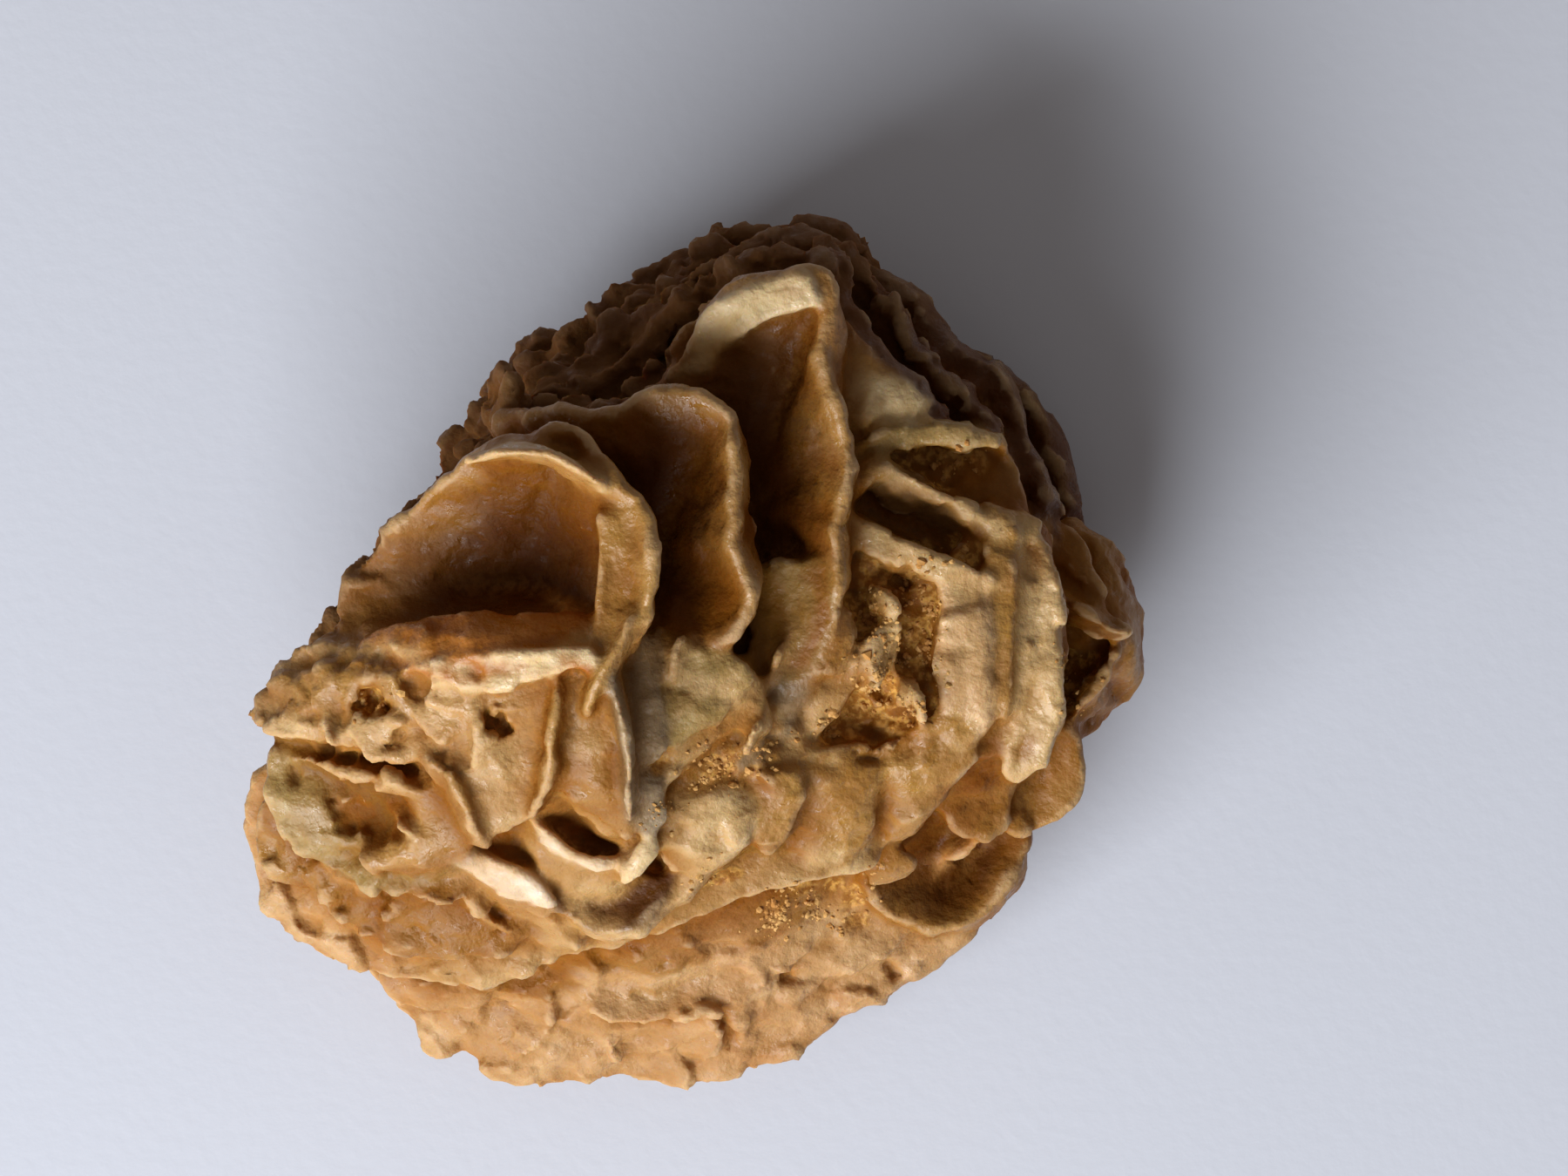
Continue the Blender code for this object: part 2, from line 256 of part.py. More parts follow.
# Slabs: outline points (x, y, z) of a flat crystal face, height of its middle, depth
SLABS = {
    # overlapping faces in the middle
    "facet_upper": ([(-3, 3, 41.4), (0.5, 1.2, 41.4), (5, 0.2, 40.6), (6.2, -1.4, 39.8),
                     (3.5, -4, 39.6), (0, -6.5, 39.8), (-2.2, -7.8, 40), (-2.6, -2, 41.2)], 0.5, 6),
    "facet_strip": ([(6.7, -1.8, 38.2), (7.2, -4.9, 37.2), (3, -6.6, 37.2), (-1, -9.6, 37.4),
                     (-4.6, -13, 37.4), (-4, -11, 38.4), (-2, -8, 38.8), (1, -6, 38.6),
                     (4, -4, 38.6)], 0.2, 6),
    "facet_speckled": ([(3, -7.6, 36), (5.4, -6.4, 36.2), (7.3, -5.8, 35.8), (6.8, -8, 35),
                        (5, -9.6, 34.8), (3, -9.4, 35.2)], 0.4, 5),
    "facet_violet": ([(7, -0.8, 36), (10.4, -1.6, 35.8), (11, -3.6, 34.8), (9, -6, 33.8),
                      (7.4, -4.8, 34.4)], 0.3, 6),
    "lobe_left": ([(-2.6, -15.6, 34.4), (-1.6, -13, 35.4), (1.5, -11.6, 35.8), (5, -11, 35.2),
                   (6.2, -12.4, 34.6), (5.6, -15.4, 33.4), (4, -17.4, 32.2), (1, -19, 31.4),
                   (-1, -18.6, 31.8), (-2.6, -17, 33.2)], 1.2, 7),
    "lobe_right": ([(6.2, -10.2, 35.2), (8, -9.6, 35), (10.1, -9.8, 34.4), (10.2, -12, 33.6),
                    (9, -15, 32.2), (7, -17, 31.2), (6, -15.4, 32.4), (6.4, -12.4, 34.2)], 0.9, 7),
    "sand_bed": ([(-4, -11.6, 36.2), (-1, -9.2, 36.6), (3, -7.4, 36), (7.4, -5.6, 35.4),
                  (10.2, -6, 34.2), (10.4, -9, 33.6), (7, -10.4, 34.2), (2, -11.4, 35.2),
                  (-2.6, -13.6, 35.4)], 0.0, 7),
    "fan": ([(10.6, -9.4, 33), (13, -7.6, 32.6), (16, -7.2, 31.6), (16.6, -10, 30.2),
             (16.4, -15.6, 27.4), (14.4, -18.6, 26), (10, -19.4, 26), (8.8, -16.8, 27.4)], 1.0, 7),
    "fan_right": ([(17.4, -9, 30.6), (20.4, -7.6, 30.8), (23, -7.2, 30.2), (24.6, -8.6, 28.8),
                   (22.4, -12, 27.4), (19.6, -15.4, 25.6), (17.4, -16.2, 25.4)], 0.7, 7),
    "grey_rib": ([(-4.9, 1.6, 42.8), (-2.7, 2.2, 42.2), (-2.4, -3, 42.2), (-2.4, -8, 40.8),
                  (-3.8, -9.4, 40.6), (-4.8, -8, 41.4), (-4.9, -3, 42.6)], 0.5, 7),
    "grey_step": ([(-4.8, -9.6, 40.2), (-2.5, -10.4, 39.2), (-2, -14, 38), (-3.2, -15.4, 37.4),
                   (-4.6, -15, 38.2), (-5, -12.4, 39.4)], 0.4, 7),
    "grey_prism": ([(-3.2, -15.2, 37.6), (-2.6, -16.6, 37), (-4.4, -18.6, 36.2),
                    (-5.8, -19.4, 35.8), (-5.9, -18, 36.4), (-4.6, -16.2, 37.4)], 0.4, 3),
    # lower end of the tall petal and the plates beside it
    "tall_step": ([(5.2, 8, 35), (8.5, 9, 36.4), (12, 8.6, 37.6), (12.8, 4.6, 37.6),
                   (12, 1.4, 37), (10.6, -1.6, 35.8), (7.6, -1.2, 35.4), (5.4, 0.4, 35.6),
                   (4.9, 4, 35.2)], -0.4, 8),
    "plate_short": ([(13, 6, 36.2), (14.5, 3.4, 36), (14.2, 1.4, 35.8), (12, -2, 35.2),
                     (10.6, -4.4, 34.6), (11.4, -1, 35.8), (12.6, 3, 36.4)], 0.1, 8),
    "plate_long": ([(17, 3.2, 34.6), (18, 2.2, 33.8), (14.6, -2.6, 33.6), (11.4, -6.6, 32.8),
                    (9.4, -9, 32.2), (9.6, -7.4, 33.2), (12, -3.4, 34.6), (14.6, 0.4, 35)], 0.2, 8),
    "petal_top": ([(-1.8, 24.8, 34), (0.4, 28.4, 36.8), (2.4, 31.3, 38.8), (6, 33, 39.4),
                   (10.6, 33.6, 39.8), (11.4, 31, 39.4), (7, 29.8, 38.4), (4, 27.8, 37.2),
                   (1.6, 25.6, 35.4)], 0.2, 7),
    "bowl_front": ([(-23.4, -0.2, 42.6), (-19.6, 0.8, 45), (-16, 1.7, 46.6), (-12, 1.6, 47.2),
                    (-8.4, 1.8, 47.4), (-8.6, 0.4, 47), (-12, -0.8, 46.2), (-16.4, -1.8, 45),
                    (-20.6, -1.6, 43.4)], 0.1, 4),
    # terrace on the left
    "bar_upper": ([(-38.6, -4, 31), (-34, -4.6, 35.2), (-29, -5.4, 37.4), (-25, -6.4, 39),
                   (-21.4, -7.6, 39.8), (-21, -9, 39.6), (-26, -8.6, 38.4), (-31, -7.4, 36.4),
                   (-35.6, -6.6, 33.4), (-38.4, -5.6, 30.6)], 0.6, 5),
    "bar_lower": ([(-35, -8.2, 32.6), (-30, -8, 35.2), (-25, -9.2, 36.8), (-22.4, -11.2, 37),
                   (-26, -11, 35.8), (-31, -9.8, 34.2)], 0.4, 5),
    "white_facet": ([(-20.4, -17, 34.2), (-16.4, -16.6, 34.8), (-13, -18.6, 33.6),
                     (-11.2, -21, 31.8), (-13.8, -22.1, 31), (-17, -20.4, 31.8)], 0.3, 6),
    "wavy_middle": ([(-11.4, -22, 31.6), (-8.6, -23.9, 31), (-6.7, -24.1, 30.8),
                     (-3.9, -23.4, 30.8), (-2, -21.5, 31), (-1, -19.2, 31.2), (-4, -18.4, 31.2),
                     (-8, -18.8, 31.4), (-11.4, -19.6, 31.8)], -0.9, 6),
    # triangular pockets on the right
    "pocket_left": ([(13, 13.2, 34.2), (15.8, 15.6, 34.4), (17.6, 17.2, 34.4), (16, 17.8, 34),
                     (13.4, 15.4, 33.6)], 0.2, 6),
    "pocket_line": ([(15.6, 17.9, 34.2), (17.2, 17.7, 34.4), (21, 15.6, 34), (25.6, 12.8, 32.6),
                     (26.8, 11.2, 32), (25.6, 11.4, 31.4), (20.6, 14, 33), (16.4, 16.4, 33.6)],
                    0.0, 6),
    "pocket_facet": ([(16, 16.6, 33.4), (20.4, 14.4, 32.8), (25.4, 11.8, 31.2), (25, 9.8, 28.6),
                      (20.6, 11.8, 29.6), (16.8, 13.6, 31.4)], 0.0, 5),
    "pocket_wall": ([(12.8, 12.6, 34.4), (14.4, 12.8, 34.8), (20, 10, 35), (26.6, 7.2, 33),
                     (26.4, 5.8, 32.4), (21, 7.2, 34), (16, 9.2, 34.6), (13, 10.6, 34)], 0.6, 6),
    "pocket_band": ([(13.8, 18.8, 33.4), (17, 20.6, 33.8), (21.6, 21.2, 33.2), (27.2, 20, 31.2),
                     (27.4, 18.4, 31), (22, 19.2, 32.4), (18, 18.8, 33), (14.6, 17.2, 33)],
                    0.5, 7),
    "back_facet": ([(13.4, 20.6, 32.6), (14.6, 24.6, 33.4), (18.8, 24.4, 32.6),
                    (21.2, 22.4, 31.6), (20.4, 21.2, 31.8), (17, 20.8, 32.4)], 0.3, 6),
    # pages standing side by side on the right
    "page_outer": ([(27.6, 13.4, 29.6), (30, 12.4, 29.8), (32.2, 7, 30.6), (32.8, 1, 30.6),
                    (32, -5, 29.4), (29.4, -10, 26.6), (26.8, -10.6, 26), (28, -6, 29.4),
                    (29, 0, 31), (29.2, 6, 31.2), (28.6, 10, 30.8)], 0.9, 9),
    "page_middle": ([(25.6, 13.6, 31), (27.4, 13, 31.2), (28.2, 9.6, 32), (28.1, 4, 32.4),
                     (27.4, -1, 32), (26.4, -5.4, 30.6), (25.6, -1, 32), (26.3, 5, 32.6),
                     (26.2, 10, 32)], 0.5, 9),
    "page_inner": ([(20.6, 5.4, 33), (22.6, 5.8, 33.2), (24.4, 1, 33.2), (25.2, -4, 32),
                    (25.2, -7, 30.6), (24, -8.8, 29.4), (22.4, -6, 31.2), (21.4, -1, 32.6)],
                   0.5, 8),
    # broken plates on the disc
    "disc_left": ([(-25, -31, 10), (-14, -34, 9.6), (-6, -36, 9), (2, -35.6, 9), (0, -32, 10.8),
                   (-10, -30, 11.6), (-20, -28, 12)], 0.4, 4),
    "disc_right": ([(2, -36.6, 8.4), (10, -34.4, 9), (17, -30.6, 9.8), (24, -24.6, 10.8),
                    (20, -23, 12.4), (12, -27, 12.2), (4, -31, 11.4)], 0.4, 4),
}

# Crystals of the flanks: heading round the rose and up-tilt of the outer edge in degrees,
# height, reach of the outer edge from the axis, radius and thickness in millimetres
FLANK_CRYSTALS = [
    (258, 8, 14, 33, 13, 3.2), (286, 24, 12, 31, 12, 3.0), (312, 10, 8, 33, 12, 3.0),
    (340, 30, 12, 31, 12, 3.2), (352, 8, 6, 33, 13, 3.0), (14, 16, 7, 35, 12, 3.0),
    (40, 4, 6, 36, 13, 3.2), (66, 20, 6, 35, 13, 3.0), (92, 6, 8, 35, 13, 3.2),
    (118, 26, 7, 30, 12, 3.0), (140, 8, 7, 28, 13, 3.2), (158, 30, 14, 28, 12, 3.0),
    (176, 6, 12, 32, 13, 3.4), (192, 22, 15, 36, 12, 3.0), (208, 6, 9, 36, 12, 3.2),
    (226, 30, 12, 34, 11, 3.0), (146, 60, 20, 24, 8, 2.6), (104, 58, 19, 29, 8, 2.6),
    (168, 52, 27, 29, 9, 2.6), (20, 62, 21, 33, 8, 2.6), (335, 60, 19, 31, 8, 2.6),
    (198, 64, 24, 35, 8, 2.6),
]


def smooth_curve(points, count, closed):
    """Evenly counted points on a Catmull-Rom curve through the given ones."""
    knots = np.array(points, float)
    spans = len(knots) if closed else len(knots) - 1
    along = np.linspace(0, spans, count, endpoint=not closed)
    start = np.minimum(along.astype(int), spans - 1)
    f = (along - start)[:, None]

    def knot(index):
        return knots[index % len(knots)] if closed else knots[np.clip(index, 0, spans)]

    a, b, c, d = (knot(start + step) for step in (-1, 0, 1, 2))
    bend = (2 * a - 5 * b + 4 * c - d) * f + (3 * b - a - 3 * c + d) * f * f
    return b + 0.5 * f * (c - a + bend)


def unit(vectors):
    return vectors / (np.linalg.norm(vectors, axis=-1, keepdims=True) + 1e-12)


def loops_to_faces(loops, around, first):
    """Quads between neighbouring loops of a closed shell, as index tuples."""
    faces = []
    for loop in range(loops - 1):
        for side in range(around):
            a = first + loop * around + side
            b = first + loop * around + (side + 1) % around
            faces.append((a, a + around, b + around, b))
    return faces


def cap(centre, loop_start, around, outward):
    """Triangles from a middle point to the loop that starts at loop_start."""
    faces = []
    for side in range(around):
        a = loop_start + side
        b = loop_start + (side + 1) % around
        faces.append((centre, a, b) if outward else (centre, b, a))
    return faces


def blade(rim, hub, cup, lip, heart):
    """A cupped sheet from its hub to its rim, thick at the heart and thin at the lip."""
    edge = smooth_curve(rim, RIM_POINTS, True)
    ahead = np.roll(edge, -1, axis=0)
    if (edge[:, 0] * ahead[:, 1] - edge[:, 1] * ahead[:, 0]).sum() < 0:
        edge = edge[::-1]
    hub = np.array(hub, float)
    share = (np.arange(1, RIM_RINGS + 1) / RIM_RINGS)[:, None]
    top = np.empty((RIM_RINGS, RIM_POINTS, 3))
    top[..., :2] = hub[:2] + (edge[:, :2] - hub[:2]) * share[..., None]
    top[..., 2] = hub[2] + (edge[:, 2] - hub[2]) * share ** cup

    outward = np.gradient(top, axis=0)
    sideways = (np.roll(top, -1, axis=1) - np.roll(top, 1, axis=1)) / 2
    normal = unit(np.cross(outward, sideways))
    low = top - normal * (heart + (lip - heart) * share ** WEDGE)[..., None]
    level = outward[-1] * (1, 1, 0)
    lip_loop = top[-1] - normal[-1] * lip * 0.35 + unit(level) * lip * 0.1

    points = np.concatenate([hub[None], *top, lip_loop, *low[::-1], hub[None] - (0, 0, heart)])
    loops = 2 * RIM_RINGS + 1
    faces = cap(0, 1, RIM_POINTS, True)
    faces += loops_to_faces(loops, RIM_POINTS, 1)
    faces += cap(len(points) - 1, 1 + (loops - 1) * RIM_POINTS, RIM_POINTS, False)
    return points, faces


def rib(path, width, depth):
    """A spindle along a path, with an upright pear-shaped section, narrow end up."""
    line = smooth_curve(path, RIB_STEPS, False)
    ahead = unit(np.gradient(line, axis=0))
    across = unit(np.cross(ahead, (0, 0, 1)))
    upright = np.cross(across, ahead)
    along = np.linspace(-1, 1, RIB_STEPS)
    size = np.sqrt(np.clip(1 - np.abs(along) ** 3, 0.02, 1))[:, None, None]
    turn = np.linspace(0, 2 * pi, RIB_SIDES, endpoint=False)[None, :, None]
    roof = 1 - 0.55 * np.sin(turn)
    section = across[:, None] * np.cos(turn) * roof * width / 2
    section = section + upright[:, None] * np.sin(turn) * depth / 2
    points = np.concatenate([(line[:, None] + section * size).reshape(-1, 3), line[:1], line[-1:]])
    faces = loops_to_faces(RIB_STEPS, RIB_SIDES, 0)
    faces += cap(len(points) - 2, 0, RIB_SIDES, True)
    faces += cap(len(points) - 1, (RIB_STEPS - 1) * RIB_SIDES, RIB_SIDES, False)
    return points, faces


def slab(outline, crown, depth):
    """A crystal face with straight edges and steep sides."""
    corners = np.array(outline, float)
    ahead = np.roll(corners, -1, axis=0)
    if (corners[:, 0] * ahead[:, 1] - corners[:, 1] * ahead[:, 0]).sum() < 0:
        corners = corners[::-1]
    ahead = np.roll(corners, -1, axis=0)
    along = np.linspace(0, 1, SLAB_STEPS, endpoint=False)[:, None]
    top = np.concatenate([a + (b - a) * along for a, b in zip(corners, ahead)])
    middle = top.mean(axis=0)
    inner = middle + (top - middle) * 0.5 + (0, 0, crown * 0.8)
    low = middle + (top - middle) * 1.06 - (0, 0, depth)
    points = np.concatenate([[middle + (0, 0, crown)], inner, top, low, [middle - (0, 0, depth)]])
    around = len(top)
    faces = cap(0, 1, around, True) + loops_to_faces(3, around, 1)
    faces += cap(len(points) - 1, 1 + 2 * around, around, False)
    return points, faces


def flank_crystal(heading, tilt, height, reach, radius, thickness):
    """A lens-shaped disc that leans out of the flank."""
    heading = radians(heading)
    tilt = radians(tilt)
    out = np.array((cos(heading) * cos(tilt), sin(heading) * cos(tilt), sin(tilt)))
    side = np.array((-sin(heading), cos(heading), 0.0))
    face = np.cross(side, out)
    middle = np.array((cos(heading) * reach, sin(heading) * reach, height)) - out * radius
    turn = np.linspace(0, 2 * pi, LENS_SIDES, endpoint=False)[:, None]
    wave = radius * (1 + 0.06 * np.cos(3 * turn + heading) + 0.04 * np.cos(7 * turn))
    around = (out * np.cos(turn) + side * np.sin(turn)) * wave
    half = thickness / 2
    loops = [middle + around * share + face * half * lift for share, lift in
             ((0.55, -0.85), (0.97, -LENS_EDGE), (1.0, 0.0), (0.97, LENS_EDGE), (0.55, 0.85))]
    points = np.concatenate([*loops, [middle - face * half], [middle + face * half]])
    faces = [tuple(reversed(quad)) for quad in loops_to_faces(len(loops), LENS_SIDES, 0)]
    faces += cap(len(points) - 2, 0, LENS_SIDES, False)
    faces += cap(len(points) - 1, (len(loops) - 1) * LENS_SIDES, LENS_SIDES, True)
    return points, faces


def crystal_shells():
    """Every blade, rib, slab and flank crystal as one list of points and faces."""
    shells = [blade(**shape) for shape in BLADES.values()]
    shells += [rib(**shape) for shape in RIBS.values()]
    shells += [slab(*shape) for shape in SLABS.values()]
    shells += [flank_crystal(*shape) for shape in FLANK_CRYSTALS]
    points = []
    faces = []
    count = 0
    for shell_points, shell_faces in shells:
        points.append(shell_points)
        faces += [tuple(index + count for index in face) for face in shell_faces]
        count += len(shell_points)
    return np.concatenate(points) * MM, faces


def evaluated_mesh(obj):
    """The object's mesh with its modifiers applied."""
    graph = bpy.context.evaluated_depsgraph_get()
    return bpy.data.meshes.new_from_object(obj.evaluated_get(graph))


def centre_on_origin(mesh):
    """Shift the mesh so that the middle of its bounding box is above the origin."""
    xy = np.array([vert.co[:2] for vert in mesh.vertices])
    middle = (xy.min(axis=0) + xy.max(axis=0)) / 2
    for vert in mesh.vertices:
        vert.co.x -= middle[0]
        vert.co.y -= middle[1]


def replace_mesh(obj, mesh):
    obj.modifiers.clear()
    obj.data = mesh


def keep_outer_skin(mesh):
    """Delete every island of faces but the largest, such as the wall of a closed void."""
    bm = bmesh.new()
    bm.from_mesh(mesh)
    bm.verts.ensure_lookup_table()
    waiting = set(bm.verts)
    islands = []
    while waiting:
        seed = waiting.pop()
        island = {seed}
        edge_of_island = [seed]
        while edge_of_island:
            vert = edge_of_island.pop()
            for edge in vert.link_edges:
                other = edge.other_vert(vert)
                if other in waiting:
                    waiting.remove(other)
                    island.add(other)
                    edge_of_island.append(other)
        islands.append(island)
    islands.sort(key=len)
    for island in islands[:-1]:
        bmesh.ops.delete(bm, geom=list(island), context="VERTS")
    bm.to_mesh(mesh)
    bm.free()


def stone_material():
    """Honey-brown gypsum."""
    material = bpy.data.materials.new("gypsum")
    material.use_nodes = True
    shader = material.node_tree.nodes["Principled BSDF"]
    shader.inputs["Base Color"].default_value = (0.42, 0.24, 0.10, 1)
    shader.inputs["Roughness"].default_value = 0.55
    shader.inputs["Metallic"].default_value = 0.0
    return material


def floor_cutter():
    """A slab below z = 0 that cuts the flat resting face."""
    bpy.ops.mesh.primitive_cube_add(size=1)
    cutter = bpy.context.object
    cutter.name = "floor_cutter"
    for vert in cutter.data.vertices:
        vert.co.x *= 200 * MM
        vert.co.y *= 200 * MM
        vert.co.z = (vert.co.z - 0.5) * 40 * MM
    cutter.hide_render = True
    cutter.display_type = "WIRE"
    return cutter


def build():
    for old in list(bpy.data.objects):
        bpy.data.objects.remove(old)
    points, faces = crystal_shells()
    mesh = bpy.data.meshes.new(NODE)
    mesh.from_pydata(points.tolist(), [], faces)
    rose = bpy.data.objects.new(NODE, mesh)
    bpy.context.scene.collection.objects.link(rose)

    join = rose.modifiers.new("join", "REMESH")
    join.mode = "VOXEL"
    join.voxel_size = VOXEL * MM
    skin = evaluated_mesh(rose)
    keep_outer_skin(skin)
    replace_mesh(rose, skin)

    skin.calc_loop_triangles()
    thin = rose.modifiers.new("thin", "DECIMATE")
    thin.ratio = TRIANGLES / len(skin.loop_triangles)
    thin.use_collapse_triangulate = True
    cut = rose.modifiers.new("resting_face", "BOOLEAN")
    cut.operation = "DIFFERENCE"
    cut.object = floor_cutter()
    replace_mesh(rose, evaluated_mesh(rose))
    centre_on_origin(rose.data)
    rose.data.materials.clear()
    rose.data.materials.append(stone_material())
    rose.data.shade_smooth()


build()
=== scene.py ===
"""Looks of the gypsum sand rose: its fine skin, trapped sand, materials, light and camera.

The rose is rebuilt from blades set out like those of the CAD solid, at a finer grain and with
the shards, pits and sand that the solid leaves out. Tables are in millimetres.
"""

from math import cos, pi, radians, sin

import bmesh
import bpy
import numpy as np
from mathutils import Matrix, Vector, kdtree, noise
from mathutils.bvhtree import BVHTree


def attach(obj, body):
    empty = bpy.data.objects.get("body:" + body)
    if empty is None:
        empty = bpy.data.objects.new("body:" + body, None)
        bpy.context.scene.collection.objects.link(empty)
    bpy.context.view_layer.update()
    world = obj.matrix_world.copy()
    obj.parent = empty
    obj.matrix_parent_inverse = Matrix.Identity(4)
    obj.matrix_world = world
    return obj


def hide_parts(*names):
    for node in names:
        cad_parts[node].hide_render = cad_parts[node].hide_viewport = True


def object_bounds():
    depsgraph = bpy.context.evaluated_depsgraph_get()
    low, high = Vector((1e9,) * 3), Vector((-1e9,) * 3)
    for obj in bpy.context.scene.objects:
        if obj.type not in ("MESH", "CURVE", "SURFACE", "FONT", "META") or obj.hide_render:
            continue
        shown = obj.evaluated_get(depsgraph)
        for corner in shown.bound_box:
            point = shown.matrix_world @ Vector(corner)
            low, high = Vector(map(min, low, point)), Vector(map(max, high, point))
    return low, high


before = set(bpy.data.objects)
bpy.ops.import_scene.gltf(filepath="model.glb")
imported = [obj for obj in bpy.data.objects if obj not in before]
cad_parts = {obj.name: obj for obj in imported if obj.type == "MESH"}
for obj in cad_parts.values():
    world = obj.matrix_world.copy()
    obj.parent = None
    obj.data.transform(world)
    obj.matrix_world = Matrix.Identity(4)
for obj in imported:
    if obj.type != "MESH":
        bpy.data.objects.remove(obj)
cad_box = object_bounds()

MM = 0.001
RIM_POINTS = 120                         # points round a blade
RIM_RINGS = 16                           # rings from its hub to its rim
RIB_STEPS = 30                           # sections along a rib
RIB_SIDES = 14                           # points round a section
WEDGE = 2.6                              # how late a blade thins towards its lip
SLAB_STEPS = 8                           # points along one edge of a slab
LENS_SIDES = 36                          # points round a lens crystal
LENS_EDGE = 0.30                         # bluntness of its edge, share of half its thickness
VOXEL = 0.36     # cell of the remesh, millimetres
NOISE_SEED = 3                           # noise.noise_vector differs at each start without one
CRACK = 0.28                             # half the width of the widest crack that is closed
SKIN_FACES = 190000                      # triangles of the finished skin
BROAD_BEND = (9.0, 0.55)                 # feature and push of the fields that bend the blades
FINE_BEND = (2.8, 0.20)
LUMP_SIZE = 6.0                          # features of the relief, from broad to fine
BROAD_FACET = 4.5
FINE_FACET = 2.2
GRAIN_SIZE = 1.5
CRUMB_SIZE = 1.0
GROWTH_STEPS = 34                        # radians of growth steps from a blade's hub to its rim
CRISP = 0.4                              # how much edges and hollows are sharpened
CRISP_REACH = 0.9
CRISP_LIMIT = 0.35
THICK = 5.0                              # stone this thick lets no light glow through

# Camera, metres
CAMERA_HEIGHT = 0.90                     # above the sheet, looking straight down
SHARP_LEVEL = 0.030                      # height at which the view is VIEW_WIDTH wide
VIEW_WIDTH = 0.1378
CAMERA_SHIFT = (0.0078, 0.0059)          # from the middle of the rose to the middle of the view
SENSOR = 36                              # width in millimetres

